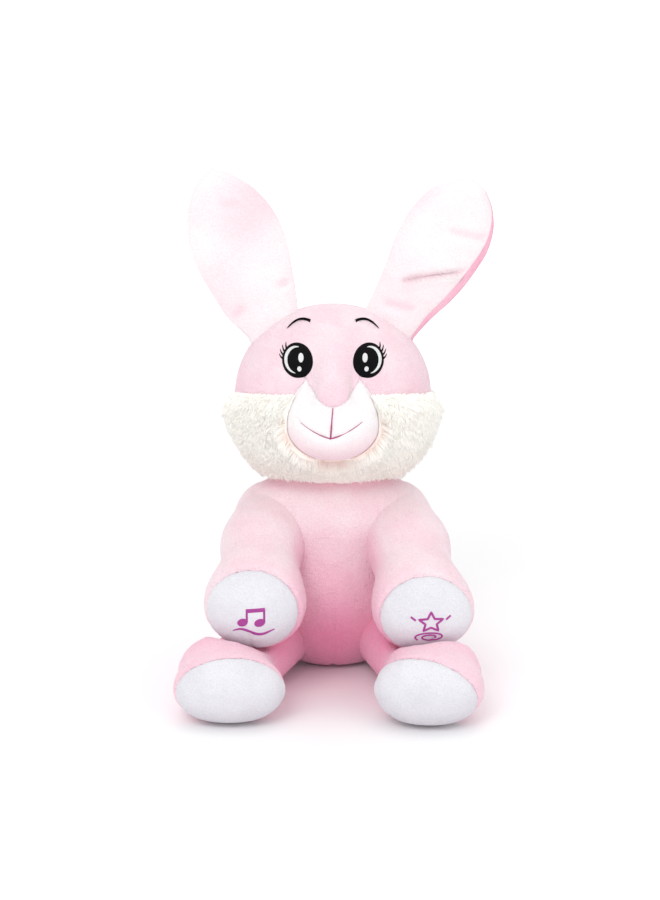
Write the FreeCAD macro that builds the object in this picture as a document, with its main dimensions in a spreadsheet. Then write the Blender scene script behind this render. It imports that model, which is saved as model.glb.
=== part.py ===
"""Animated plush rabbit: a soft sitting toy whose ears are flapped by a motor gearbox in its head.

Frame: millimetres, +Z up, the toy faces -Y, and its own left side is +X.
The origin is the middle of the flat seat under the torso.
"""
import FreeCAD, Part
import math
import os
import re
from FreeCAD import Placement, Rotation, Vector

# Driving dimensions, in millimetres and degrees. Each becomes one named cell of the sheet.
DIMENSIONS = {
    # head
    "head_rx": 69, "head_ry": 60, "head_rz": 65, "head_y": -5, "head_z": 197, "neck_gap": 1.5,
    "fur_thick": 6, "fur_low": 139, "fur_high": 198, "fur_back": 12,
    "muzzle_rx": 31, "muzzle_ry": 26, "muzzle_rz": 23, "muzzle_y": -64, "muzzle_z": 185,
    "eye_x": 24, "eye_z": 228, "eye_radius": 11.5, "patch_thick": 1, "brow_radius": 15,
    # torso
    "torso_rx": 62, "torso_ry": 56, "torso_rz": 78, "torso_y": 2, "torso_z": 58,
    "torso_top": 130, "torso_back": 43.5, "tail_radius": 16,
    # arms: shoulder ball, paw centre at the pad seam
    "shoulder_x": 47, "shoulder_y": -12, "shoulder_z": 112.5, "shoulder_radius": 22.5,
    "paw_x": 52.5, "paw_y": -92, "paw_z": 70, "paw_radius": 28, "pad_height": 12,
    # legs: hip ball, ankle and upturned foot
    "hip_x": 36, "hip_y": -18, "hip_z": 23, "hip_radius": 22,
    "ankle_radius": 19, "ankle_x": 64, "ankle_z": 19.5, "ankle_y": -108,
    "foot_x": 67, "foot_y": -130, "foot_rx": 37, "foot_ry": 20, "foot_rz": 26.5, "foot_sink": 0.8,
    "sole_thick": 1.5, "soft_gap": 1.2,
    # ears and their drive
    "hinge_y": -6, "hinge_z": 252, "ear_shaft_radius": 2, "ear_shaft_length": 94,
    "ear_root_x": 42, "ear_root_z": 247, "ear_lean_left": 28, "ear_lean_right": 21,
    "ear_half_width": 36, "ear_half_thick": 7.5, "ear_half_length": 64, "ear_centre": 52,
    "ear_start": 13, "ear_inner_start": 27, "ear_inner_x": 38,
    "paddle_thick": 2, "paddle_width": 16, "paddle_length": 74, "paddle_offset": 2, "hub_radius": 4.5,
    "hub_length": 8,
    "tooth_size": 0.8, "pinion_teeth": 12, "second_wheel_teeth": 30, "first_wheel_teeth": 36,
    "sector_teeth": 30, "tooth_play": 0.16, "axle_radius": 1, "running_gap": 0.05,
    "flap_range": 70, "motor_radius": 10, "motor_length": 25, "motor_back": -18, "motor_shaft_radius": 1,
    # gearbox casing in the head
    "case_left": 17, "case_right": -22, "case_front": -33, "case_rear": 12, "case_low": 194,
    "case_high": 240, "case_split": -2.5, "case_wall": 2,
    "turret_left": 9.5, "turret_right": -8.5, "turret_front": -22.5, "turret_rear": 10.5, "turret_high": 257,
    # sound and battery module in the torso
    "module_half_width": 32, "module_front": 4, "module_middle": 23, "module_back": 42,
    "module_low": 36, "module_high": 94, "module_wall": 2, "speaker_radius": 18,
    "cell_radius": 7.1, "cell_length": 50.5, "cell_pitch": 14.9, "cell_first_z": 54.4, "cell_y": 32.5,
    "door_low": 43.6, "door_thick": 1.8, "screw_radius": 1.25, "door_screw_z": 45.9,
    "switch_z": 39.9, "switch_travel": 4,
    # paw press switches
    "button_radius": 12, "pad_gap": 2, "arm_swing": 60, "lead_radius": 1,
}
SIDES = {"left": 1, "right": -1}

doc = FreeCAD.newDocument("plush_rabbit")
sheet = doc.addObject("Spreadsheet::Sheet", "Sheet")
for row, (alias, number) in enumerate(DIMENSIONS.items(), start=1):
    sheet.set(f"A{row}", alias)
    sheet.set(f"B{row}", str(number))
    sheet.setAlias(f"B{row}", alias)
doc.recompute()

size = {alias: float(sheet.get(alias)) for alias in DIMENSIONS}
sub_parts = {}


def formula(text):
    """Point each dimension name in a formula at its sheet cell."""
    def cell(match):
        word = match.group(0)
        return f"Sheet.{word}" if word in DIMENSIONS else word
    return re.sub(r"[a-z]\w*", cell, str(text))


def bind(item, **sizes):
    """Bind each named property of an object to a formula of sheet cells."""
    for name, text in sizes.items():
        item.setExpression(name, formula(text))
    return item


def place(item, x=0, y=0, z=0, axis=(0, 0, 1), angle=0):
    """Bind an object's placement: a formula for each coordinate, a fixed axis and an angle formula."""
    base = f"vector({formula(x)}; {formula(y)}; {formula(z)})"
    turn = f"rotation(vector({axis[0]}; {axis[1]}; {axis[2]}); {formula(angle)})"
    item.setExpression("Placement", f"placement({base}; {turn})")
    return item


def ellipsoid(name, rx, ry, rz, x=0, y=0, z=0, axis=(0, 0, 1), angle=0):
    item = doc.addObject("Part::Ellipsoid", name)
    item.Angle1 = -90
    item.Angle2 = 90
    item.Angle3 = 360
    bind(item, Radius1=rz, Radius2=rx, Radius3=ry)
    return place(item, x, y, z, axis, angle)


def box(name, low, high):
    """A box between two corners, each a formula for x, y and z."""
    item = doc.addObject("Part::Box", name)
    spans = [f"({top}) - ({bottom})" for bottom, top in zip(low, high)]
    bind(item, Length=spans[0], Width=spans[1], Height=spans[2])
    return place(item, *low)


def ball(name, radius, x, y, z):
    item = doc.addObject("Part::Sphere", name)
    bind(item, Radius=radius)
    return place(item, x, y, z)


def rod_x(name, radius, low, high, y, z):
    """A cylinder along X from x = low to x = high."""
    item = doc.addObject("Part::Cylinder", name)
    bind(item, Radius=radius, Height=f"({high}) - ({low})")
    return place(item, low, y, z, (0, 1, 0), 90)


def rod_y(name, radius, low, high, x, z):
    """A cylinder along Y from y = low to y = high."""
    item = doc.addObject("Part::Cylinder", name)
    bind(item, Radius=radius, Height=f"({high}) - ({low})")
    return place(item, x, high, z, (1, 0, 0), 90)


def rod_z(name, radius, low, high, x, y):
    """A cylinder along Z from z = low to z = high."""
    item = doc.addObject("Part::Cylinder", name)
    bind(item, Radius=radius, Height=f"({high}) - ({low})")
    return place(item, x, y, low)


def fuse(name, *items):
    item = doc.addObject("Part::MultiFuse", name)
    item.Shapes = list(items)
    return item


def common(name, *items):
    item = doc.addObject("Part::MultiCommon", name)
    item.Shapes = list(items)
    return item


def cut(name, base, *tools):
    item = doc.addObject("Part::Cut", name)
    item.Base = base
    item.Tool = tools[0] if len(tools) == 1 else fuse(f"{name}_cutters", *tools)
    return item


def solid(name, shape, placement=None):
    """A sub-part whose shape is computed here, for tooth outlines and slanted limbs."""
    item = doc.addObject("Part::Feature", name)
    item.Shape = shape
    item.Placement = placement or Placement()
    return item


def keep(node, item):
    """Name an object as the finished sub-part that goes to its own file."""
    item.Label = node
    sub_parts[node] = item
    return item


def group(node, *items):
    """One sub-part made of several separate solids of the same kind."""
    item = doc.addObject("Part::Compound", f"{node}_group")
    item.Links = list(items)
    return keep(node, item)


# ---- places that several sub-parts share ------------------------------------------------------

def at(x, y, z, side=1):
    """A point from three dimension names, mirrored in X for the right side."""
    return Vector(side * size[x], size[y], size[z])


def taper(start, end, start_radius, end_radius):
    """The tapered part of a limb, a little slimmer at its start than the ball it grows from."""
    reach = end - start
    return Part.makeCone(0.96 * start_radius, end_radius, reach.Length, start, reach)


def arm_envelope(side, extra=0.0):
    """The arm's outside, from its shoulder ball to the flat end at the pad seam."""
    shoulder = at("shoulder_x", "shoulder_y", "shoulder_z", side)
    paw = at("paw_x", "paw_y", "paw_z", side)
    shoulder_radius = size["shoulder_radius"] + extra
    sleeve = taper(shoulder, paw, shoulder_radius, size["paw_radius"] + extra)
    return sleeve.fuse(Part.makeSphere(shoulder_radius, shoulder))


def leg_envelope(side, extra=0.0, splays=(0,)):
    """The leg's outside without its foot, swept through the given splay angles."""
    hip = at("hip_x", "hip_y", "hip_z", side)
    hip_radius = size["hip_radius"] + extra
    shape = Part.makeSphere(hip_radius, hip)
    for splay in splays:
        shin = taper(hip, at("ankle_x", "ankle_y", "ankle_z", side), hip_radius, 0.97 * size["ankle_radius"] + extra)
        shin.rotate(hip, Vector(0, 0, side), splay)
        shape = shape.fuse(shin)
    return shape


def lead_start(side):
    """Where a paw lead leaves the sound module, near its upper front corner."""
    return Vector(side * size["module_half_width"] / 2, size["module_front"] + 6, size["module_high"] - 4)


def lead_direction(side):
    """The straight line of a paw lead from the module to the shoulder."""
    return at("shoulder_x", "shoulder_y", "shoulder_z", side) - lead_start(side)


def arm_swing_axis(side):
    """The shoulder hinge: a positive turn swings the forward arm outwards and up."""
    return Vector(-0.36, -0.44 * side, 0.82 * side)


# ---- torso -------------------------------------------------------------------------------------

def torso():
    """The stuffed body: an egg with a flat seat and back, sockets for the limbs and a module well."""
    egg = ellipsoid("torso_egg", "torso_rx", "torso_ry", "torso_rz", 0, "torso_y", "torso_z")
    trim = box("torso_trim", (-100, -100, 0), (100, "torso_back", "torso_top"))
    well = box("module_well", ("-module_half_width - 1", "module_front - 1", "module_low - 1"),
               ("module_half_width + 1", "torso_back + 20", "module_high + 1"))
    neck_bore = rod_z("neck_bore", 4, "module_high - 5", "torso_top + 5", 0, "head_y")
    neck_duct = box("neck_duct", (-4, "head_y", "module_high - 5"), (4, "module_front + 10", "module_high + 18"))
    relief = size["soft_gap"]
    sockets = []
    for side_name, side in SIDES.items():
        sockets.append(solid(f"arm_socket_{side_name}", arm_envelope(side, relief)))
        sockets.append(solid(f"leg_socket_{side_name}", leg_envelope(side, relief, (0, 10, 20))))
        duct = Part.makeCylinder(2, lead_direction(side).Length, lead_start(side), lead_direction(side))
        sockets.append(solid(f"paw_lead_duct_{side_name}", duct))
    keep("torso_plush", cut("torso_body", common("torso_block", egg, trim), well, neck_bore, neck_duct, *sockets))
    tail_ball = ball("tail_ball", "tail_radius", 0, "torso_back + 6", "tail_radius + 2")
    tail_trim = box("tail_trim", (-40, "torso_back + 0.3", 0), (40, "torso_back + 40", 60))
    keep("tail", common("tail_body", tail_ball, tail_trim))


# ---- head --------------------------------------------------------------------------------------

def head_shell(name, extra):
    """The head's outer surface, grown outwards by a given thickness."""
    return ellipsoid(name, f"head_rx + {extra}", f"head_ry + {extra}", f"head_rz + {extra}",
                     0, "head_y", "head_z")


def muzzle_shell(name, extra):
    return ellipsoid(name, f"muzzle_rx + {extra}", f"muzzle_ry + {extra}", f"muzzle_rz + {extra}",
                     0, "muzzle_y", "muzzle_z")


def head():
    egg = head_shell("head_egg", 0)
    neck_trim = box("neck_trim", (-100, -100, 0), (100, 100, "torso_top + neck_gap"))
    case_room = box("case_room", ("case_right - 0.4", "case_front - 0.4", "case_low - 0.4"),
                    ("case_left + 0.4", "case_rear + 0.4", "case_high + 0.4"))
    turret_room = box("turret_room", ("turret_right - 0.4", "turret_front - 0.4", "case_high - 2"),
                      ("turret_left + 0.4", "turret_rear + 0.4", "turret_high + 0.4"))
    shaft_room = rod_x("shaft_room", "ear_shaft_radius + 1.5", -60, 60, "hinge_y", "hinge_z")
    hub_rooms = []
    for side_name, side in SIDES.items():
        ends = sorted((side * 35.5, side * 60))
        hub_rooms.append(rod_x(f"hub_room_{side_name}", "hub_radius + 1.5", *ends, "hinge_y", "hinge_z"))
    neck_duct = rod_z("head_duct", 4, "torso_top - 2", "case_low + 1", 0, "head_y")
    keep("head_plush", cut("head_body", egg, neck_trim, case_room, turret_room, shaft_room, neck_duct,
                           *hub_rooms))


def cheek_fur():
    """The long-pile piece that wraps the lower face from side seam to side seam."""
    shell = cut("fur_shell", head_shell("fur_outer", "fur_thick"), head_shell("fur_inner", 0))
    band = box("fur_band", (-100, -100, "fur_low"), (100, "fur_back", "fur_high"))
    keep("cheek_fur", cut("fur_body", common("fur_wrap", shell, band), muzzle_shell("fur_muzzle", 0)))


def muzzle():
    keep("muzzle", cut("muzzle_body", muzzle_shell("muzzle_egg", 0), head_shell("muzzle_seat", 0)))


def eyes_and_brows():
    """Thin embroidered patches on the head's surface."""
    skin = cut("eye_skin", head_shell("eye_outer", "patch_thick"), head_shell("eye_inner", 0))
    brows = []
    for side_name, side in SIDES.items():
        disc = rod_y(f"eye_disc_{side_name}", "eye_radius", -100, -20, f"{side} * eye_x", "eye_z")
        keep(f"eye_{side_name}", common(f"eye_patch_{side_name}", skin, disc))
        outer = rod_y(f"brow_outer_{side_name}", "brow_radius + 0.9", -100, -20, f"{side} * eye_x", "eye_z")
        inner = rod_y(f"brow_inner_{side_name}", "brow_radius - 0.9", -101, -19, f"{side} * eye_x", "eye_z")
        arch = cut(f"brow_ring_{side_name}", outer, inner)
        top = box(f"brow_top_{side_name}", (f"{side} * eye_x - 10", -101, "eye_z + 11"),
                  (f"{side} * eye_x + 10", -19, "eye_z + 20"))
        brows.append(common(f"brow_{side_name}", skin, arch, top))
    group("brows", *brows)


def nose_and_mouth():
    """The pink gusset down to the nose tip, and the stitched mouth line below it."""
    gusset_skin = cut("gusset_skin", muzzle_shell("gusset_outer", "patch_thick"), muzzle_shell("gusset_in", 0))
    corners = [Vector(-12, -110, 216), Vector(12, -110, 216), Vector(0, -110, 201)]
    prism = Part.Face(Part.makePolygon(corners + corners[:1])).extrude(Vector(0, 60, 0))
    wedge = solid("gusset_wedge", prism)
    keep("nose_gusset", cut("gusset_body", common("gusset_patch", gusset_skin, wedge),
                            head_shell("gusset_seat", 0)))
    thread_skin = cut("thread_skin", muzzle_shell("thread_outer", "patch_thick"), muzzle_shell("thread_in", 0))
    seam = box("seam_slot", (-0.7, -110, "muzzle_z - 2"), (0.7, -70, "muzzle_z + 14"))
    smile_outer = rod_y("smile_outer", 20.7, -110, -70, 0, "muzzle_z + 18")
    smile_inner = rod_y("smile_inner", 19.3, -111, -69, 0, "muzzle_z + 18")
    smile_low = box("smile_low", (-18, -112, "muzzle_z - 10"), (18, -68, "muzzle_z + 8"))
    smile = common("smile", cut("smile_ring", smile_outer, smile_inner), smile_low)
    keep("mouth_stitching", common("mouth_threads", thread_skin, fuse("mouth_lines", seam, smile)))


# ---- ears --------------------------------------------------------------------------------------

def ear(side_name):
    """Two fabric leaves with a plastic paddle between them, keyed to the cross shaft."""
    side = SIDES[side_name]
    lean = f"{side} * ear_lean_{side_name}"
    tilt = size[f"ear_lean_{side_name}"]
    root_x = f"{side} * ear_root_x"
    leaf = ellipsoid(f"ear_leaf_{side_name}", "ear_half_width", "ear_half_thick", "ear_half_length",
                     f"{side} * (ear_root_x + ear_centre * sin(ear_lean_{side_name}))", "hinge_y",
                     f"ear_root_z + ear_centre * cos(ear_lean_{side_name})", (0, 1, 0), lean)
    core = rod_x(f"ear_core_{side_name}", "ear_start", -150, 150, "hinge_y", "hinge_z")
    inner_core = rod_x(f"ear_inner_core_{side_name}", "ear_inner_start", "-ear_inner_x", "ear_inner_x",
                       "hinge_y", "hinge_z")
    below = box(f"ear_below_{side_name}", (-150, -40, 150), (150, 30, "hinge_z"))
    front = box(f"ear_front_half_{side_name}", (-150, "hinge_y - 20", 200),
                (150, "hinge_y - paddle_thick / 2 - 0.2", 400))
    back = box(f"ear_back_half_{side_name}", (-150, "hinge_y + paddle_thick / 2 + 0.2", 200),
               (150, "hinge_y + 20", 400))
    blank = cut(f"ear_blank_{side_name}", leaf, core, inner_core, below)
    keep(f"ear_front_{side_name}", common(f"ear_front_leaf_{side_name}", blank, front))
    keep(f"ear_back_{side_name}", common(f"ear_back_leaf_{side_name}", blank, back))

    blade = doc.addObject("Part::Box", f"paddle_blade_{side_name}")
    bind(blade, Length="paddle_width", Width="paddle_thick", Height="paddle_length")
    across = side * math.cos(math.radians(tilt))
    middle = f"{root_x} + {side} * paddle_offset"
    place(blade, f"{middle} - {across * side} * paddle_width / 2", "hinge_y - paddle_thick / 2",
          f"hinge_z + {side * math.sin(math.radians(tilt))} * paddle_width / 2", (0, 1, 0), lean)
    hub_ends = sorted((side * (size["ear_root_x"] - size["hub_length"] / 2),
                       side * (size["ear_root_x"] + size["hub_length"] / 2)))
    hub = rod_x(f"paddle_hub_{side_name}", "hub_radius", *hub_ends, "hinge_y", "hinge_z")
    hole = rod_x(f"paddle_hole_{side_name}", "ear_shaft_radius", -60, 60, "hinge_y", "hinge_z")
    above = box(f"paddle_above_{side_name}", (-150, -40, "hinge_z + ear_shaft_radius + 0.2"), (150, 40, 400))
    keep(f"ear_paddle_{side_name}", fuse(f"paddle_{side_name}", cut(f"paddle_ring_{side_name}", hub, hole),
                                         common(f"paddle_leaf_{side_name}", blade, above)))


# ---- gear train --------------------------------------------------------------------------------

def gear_outline(teeth, backlash):
    """The closed outline of an involute spur gear in XY with one tooth centred on +X."""
    module = size["tooth_size"]
    pressure = math.radians(20)
    pitch = module * teeth / 2
    base = pitch * math.cos(pressure)
    tip = pitch + 0.8 * module
    root = pitch - 1.1 * module
    half_at_pitch = math.pi / (2 * teeth) - backlash / (4 * pitch)
    involute = math.tan(pressure) - pressure

    def half_angle(radius):
        turn = math.acos(min(1.0, base / radius))
        return half_at_pitch + involute - (math.tan(turn) - turn)

    lowest = max(base, root)
    steps = 5
    radii = [lowest + (tip - lowest) * step / steps for step in range(steps + 1)]
    points = []
    for tooth in range(teeth):
        middle = 2 * math.pi * tooth / teeth
        flank = [(radius, half_angle(radius)) for radius in radii]
        if root < base:
            flank.insert(0, (root, flank[0][1]))
        for radius, half in flank:
            points.append(Vector(radius * math.cos(middle - half), radius * math.sin(middle - half), 0))
        for radius, half in reversed(flank):
            points.append(Vector(radius * math.cos(middle + half), radius * math.sin(middle + half), 0))
    return Part.makePolygon(points + points[:1])


def gear_disc(teeth, phase, low, high):
    """A spur gear along +X from x = low to x = high, with a tooth centred at the phase angle.

    The phase is in degrees in the YZ plane, from +Y towards +Z.
    """
    disc = Part.Face(gear_outline(int(teeth), size["tooth_play"])).extrude(Vector(0, 0, high - low))
    disc.rotate(Vector(), Vector(0, 0, 1), phase)
    disc.transformShape(Placement(Vector(low, 0, 0), Rotation(Vector(1, 1, 1), 120)).toMatrix())
    return disc


def tooth_gap(teeth, facing):
    """The phase that turns a gap between two teeth to face a given direction."""
    return facing + 180 / teeth


def axle_places():
    """The parallel axes of the train, from the ear shaft down to the motor, as (y, z)."""
    module = size["tooth_size"]
    pinion = size["pinion_teeth"]
    spans = {
        "second": (module * (size["sector_teeth"] + pinion) / 2, -90),
        "first": (module * (size["second_wheel_teeth"] + pinion) / 2, -125),
        "motor": (module * (size["first_wheel_teeth"] + pinion) / 2, -40),
    }
    places = {"ear": (size["hinge_y"], size["hinge_z"])}
    previous = places["ear"]
    for name, (span, heading) in spans.items():
        turn = math.radians(heading)
        previous = (previous[0] + span * math.cos(turn), previous[1] + span * math.sin(turn))
        places[name] = previous
    headings = {name: heading for name, (span, heading) in spans.items()}
    return places, headings


def on_axle(axle):
    """The placement that takes a shape built on the X axis onto one of the axles."""
    return Placement(Vector(0, *axle), Rotation())


def gear_train():
    places, headings = axle_places()
    pinion = size["pinion_teeth"]
    bore = size["axle_radius"] + size["running_gap"]

    sector = gear_disc(size["sector_teeth"], headings["second"], -2, 2)
    reach = size["tooth_size"] * size["sector_teeth"]
    spare = 12
    low_turn = math.radians(headings["second"] + spare)
    high_turn = math.radians(headings["second"] - size["flap_range"] - spare)
    fan = [Vector(-3, 0, 0)]
    for step in range(7):
        turn = low_turn + (high_turn - low_turn) * step / 6
        fan.append(Vector(-3, reach * math.cos(turn), reach * math.sin(turn)))
    wedge = Part.Face(Part.makePolygon(fan + fan[:1])).extrude(Vector(6, 0, 0))
    hub = Part.makeCylinder(3.5, 4, Vector(-2, 0, 0), Vector(1, 0, 0))
    bored = Part.makeCylinder(size["ear_shaft_radius"], 6, Vector(-3, 0, 0), Vector(1, 0, 0))
    sector = sector.common(wedge).fuse(hub).cut(bored).removeSplitter()
    keep("sector_gear", solid("sector_gear_body", sector, on_axle(places["ear"])))

    def compound(node, axle, wheel_teeth, wheel_phase, wheel_span, pinion_phase, pinion_span):
        """A wheel and a pinion moulded as one, running on a fixed pin."""
        wheel = gear_disc(wheel_teeth, wheel_phase, *wheel_span)
        small = gear_disc(pinion, pinion_phase, *pinion_span)
        hole = Part.makeCylinder(bore, 40, Vector(-20, 0, 0), Vector(1, 0, 0))
        shape = wheel.fuse(small).cut(hole)
        keep(node, solid(f"{node}_body", shape, on_axle(places[axle])))

    compound("second_gear", "second", size["second_wheel_teeth"], headings["first"], (4, 6.6),
             tooth_gap(pinion, headings["second"] + 180), (-2.4, 4))
    compound("first_gear", "first", size["first_wheel_teeth"], headings["motor"], (9, 11.6),
             tooth_gap(pinion, headings["first"] + 180), (3.6, 9))

    motor_pinion = gear_disc(pinion, tooth_gap(pinion, headings["motor"] + 180), 8.8, 12.4)
    motor_bore = Part.makeCylinder(size["motor_shaft_radius"], 20, Vector(0, 0, 0), Vector(1, 0, 0))
    motor_pinion = motor_pinion.cut(motor_bore)
    keep("motor_pinion", solid("motor_pinion_body", motor_pinion, on_axle(places["motor"])))
    return places


def ear_shaft():
    half = "ear_shaft_length / 2"
    keep("ear_shaft", rod_x("ear_shaft_rod", "ear_shaft_radius", f"-{half}", half, "hinge_y", "hinge_z"))


def motor(place_yz):
    """A round can motor with its shaft along X, held by the casing."""
    y, z = place_yz
    front = size["motor_back"] + size["motor_length"]
    can = rod_x("motor_can_tube", "motor_radius", "motor_back", front, y, z)
    shaft_room = rod_x("motor_shaft_room", "motor_shaft_radius + running_gap", -40, 40, y, z)
    keep("motor_can", cut("motor_can_body", can, shaft_room))
    keep("motor_shaft", rod_x("motor_shaft_rod", "motor_shaft_radius", "motor_back + 1", 12.6, y, z))


def gearbox_case(places):
    """Two casing halves that meet on a plane across the shafts, with four screws."""
    wall = "case_wall"
    outer = fuse("case_outer",
                 box("case_block", ("case_right", "case_front", "case_low"),
                     ("case_left", "case_rear", "case_high")),
                 box("turret_block", ("turret_right", "turret_front", "case_high - 3"),
                     ("turret_left", "turret_rear", "turret_high")))
    inner = fuse("case_inner",
                 box("case_hollow", (f"case_right + {wall}", f"case_front + {wall}", f"case_low + {wall}"),
                     (f"case_left - {wall}", f"case_rear - {wall}", f"case_high - {wall}")),
                 box("turret_hollow", ("turret_right + 1.5", "turret_front + 1.5", "case_high - 4"),
                     ("turret_left - 1.5", "turret_rear - 1.5", "turret_high - 1.2")))
    bush_room = rod_x("bush_room", "ear_shaft_radius + 1.4", -40, 40, "hinge_y", "hinge_z")
    lead_room = rod_z("case_lead_room", 2.4, "case_low - 2", "case_low + 5", 0, "head_y")
    shell = cut("case_shell", outer, inner, bush_room, lead_room)

    post_places = [("case_rear - 4.2", "case_high - 13"), ("case_rear - 4.2", "case_low + 5"),
                   ("case_front + 4.3", "case_low + 5"), ("case_front + 4.3", "case_high - 5.4")]
    posts = [rod_x(f"screw_post_{index}", 2.6, "case_right + 1", "case_left - 1", y, z)
             for index, (y, z) in enumerate(post_places)]
    pin_rooms = []
    pins = []
    for name in ("second", "first"):
        y, z = places[name]
        pins.append(rod_x(f"{name}_axle_pin", "axle_radius", "case_right + 1", "case_left - 1", y, z))
        pin_rooms.append(rod_x(f"{name}_pin_room", "axle_radius", "case_right + 1", "case_left - 1", y, z))
    screw_rooms = [rod_x(f"screw_room_{index}", 1, "case_right + 3", "case_left + 1", y, z)
                   for index, (y, z) in enumerate(post_places)]
    head_rooms = [rod_x(f"screw_head_room_{index}", 2, "case_left - 1.4", "case_left + 1", y, z)
                  for index, (y, z) in enumerate(post_places)]
    cradle_y, cradle_z = places["motor"]
    cradle = box("motor_cradle", (-16, cradle_y - 6, "case_low + 1"), (-4, cradle_y + 6, cradle_z))
    cradle_room = rod_x("cradle_room", "motor_radius", -19, 8, cradle_y, cradle_z)
    motor_seat = cut("motor_seat", cradle, cradle_room)
    filled = cut("case_filled", fuse("case_with_posts", shell, motor_seat, *posts),
                 fuse("case_rooms", *pin_rooms, *screw_rooms, *head_rooms))
    left_half = box("case_left_side", ("case_split", -100, 100), (60, 100, 300))
    right_half = box("case_right_side", (-60, -100, 100), ("case_split", 100, 300))
    keep("gearbox_case_left", common("gearbox_left", filled, left_half))
    keep("gearbox_case_right", common("gearbox_right", filled, right_half))
    group("gear_axles", *pins)

    screws = []
    for index, (y, z) in enumerate(post_places):
        shank = rod_x(f"case_screw_shank_{index}", 1, "case_right + 5", "case_left - 1.4", y, z)
        cap = rod_x(f"case_screw_cap_{index}", 1.9, "case_left - 1.4", "case_left - 0.2", y, z)
        screws.append(fuse(f"case_screw_{index}", shank, cap))
    group("gearbox_screws", *screws)

    bushes = []
    for side, low, high in (("left", "turret_left - 1.5", "turret_left"),
                            ("right", "turret_right", "turret_right + 1.5")):
        ring = rod_x(f"bush_ring_{side}", "ear_shaft_radius + 1.4", low, high, "hinge_y", "hinge_z")
        hole = rod_x(f"bush_hole_{side}", "ear_shaft_radius + running_gap", -40, 40, "hinge_y", "hinge_z")
        bushes.append(cut(f"bush_{side}", ring, hole))
    group("shaft_bushes", *bushes)


# ---- limbs -------------------------------------------------------------------------------------

def arm(side_name):
    """A stuffed arm, its press switch near the paw, and the domed pad that presses it."""
    side = SIDES[side_name]
    shoulder = at("shoulder_x", "shoulder_y", "shoulder_z", side)
    paw = at("paw_x", "paw_y", "paw_z", side)
    line = (paw - shoulder).normalize()
    turn = Rotation(Vector(0, 0, 1), line)

    def along(radius, start, end):
        """A cylinder on the arm's own axis, by distance from the pad seam."""
        return Part.makeCylinder(radius, end - start, paw + line * start, line)

    body = arm_envelope(side)
    body = body.cut(along(size["button_radius"] + 3.4, -14, 1))
    body = body.cut(Part.makeCylinder(2, (paw - shoulder).Length, shoulder, line))
    for turn_back in range(0, int(size["arm_swing"]) + 1, 15):
        slot = Part.makeCylinder(3, size["shoulder_radius"] + 4, shoulder, -lead_direction(side))
        slot.rotate(shoulder, arm_swing_axis(side), -turn_back)
        body = body.cut(slot)
    keep(f"arm_{side_name}", solid(f"arm_body_{side_name}", body))

    housing = along(size["button_radius"] + 3, -13, -1.5).cut(along(size["button_radius"] + 0.6, -11, 0))
    housing = housing.cut(along(1.4, -14, -10))
    keep(f"paw_switch_case_{side_name}", solid(f"paw_switch_{side_name}", housing))
    top = size["pad_gap"] - 0.3
    button = along(size["button_radius"], -7, top).cut(along(size["button_radius"] - 1.5, -8, top - 1.8))
    keep(f"paw_button_{side_name}", solid(f"paw_button_cap_{side_name}", button))

    dome = ellipsoid(f"pad_dome_{side_name}", "paw_radius", "paw_radius", "pad_height")
    dome.setExpression("Placement", None)
    dome.Placement = Placement(paw, turn)
    slab = solid(f"pad_slab_{side_name}", along(2 * size["paw_radius"], size["pad_gap"], 40))
    keep(f"paw_pad_{side_name}", common(f"pad_cap_{side_name}", dome, slab))

    lead_length = (paw - shoulder).Length - 14
    lead = Part.makeCylinder(size["lead_radius"], lead_length - 1.5, shoulder + line * 1.5, line)
    keep(f"paw_lead_{side_name}", solid(f"arm_lead_{side_name}", lead))


def legs():
    """Stuffed legs, each with an upturned foot and a white sole patch; the right pair mirrors the left."""
    limb_body = solid("leg_limb", leg_envelope(SIDES["left"]))
    ankle_ball = ball("ankle_ball", "ankle_radius", "ankle_x", "ankle_y", "ankle_z")

    def foot_egg(name, depth):
        return ellipsoid(name, "foot_rx", depth, "foot_rz", "foot_x", "foot_y", "foot_rz - foot_sink")

    floor_trim = box("leg_floor", (-150, -200, 0), (150, 100, 100))
    blank = fuse("leg_blank", limb_body, ankle_ball, foot_egg("foot", "foot_ry"))
    shell = cut("sole_shell", foot_egg("sole_outer", "foot_ry + sole_thick"), foot_egg("sole_inner", "foot_ry"))
    front = box("sole_front", (-150, -200, 0), (150, "foot_y - 6", 100))
    finished = {"leg": common("leg_body", blank, floor_trim), "foot_sole": common("sole_body", shell, front)}
    for node, left_piece in finished.items():
        keep(f"{node}_left", left_piece)
        right_piece = doc.addObject("Part::Mirroring", f"{node}_mirror")
        right_piece.Source = left_piece
        right_piece.Normal = Vector(1, 0, 0)
        keep(f"{node}_right", right_piece)


# ---- sound and battery module ------------------------------------------------------------------

def module_box(name, inset, low_y, high_y, low_z="module_low", high_z="module_high"):
    """A box across the module, inset from its outer sides by a given amount."""
    return box(name, (f"-module_half_width + {inset}", low_y, f"{low_z} + {inset}"),
               (f"module_half_width - {inset}", high_y, f"{high_z} - {inset}"))


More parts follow.
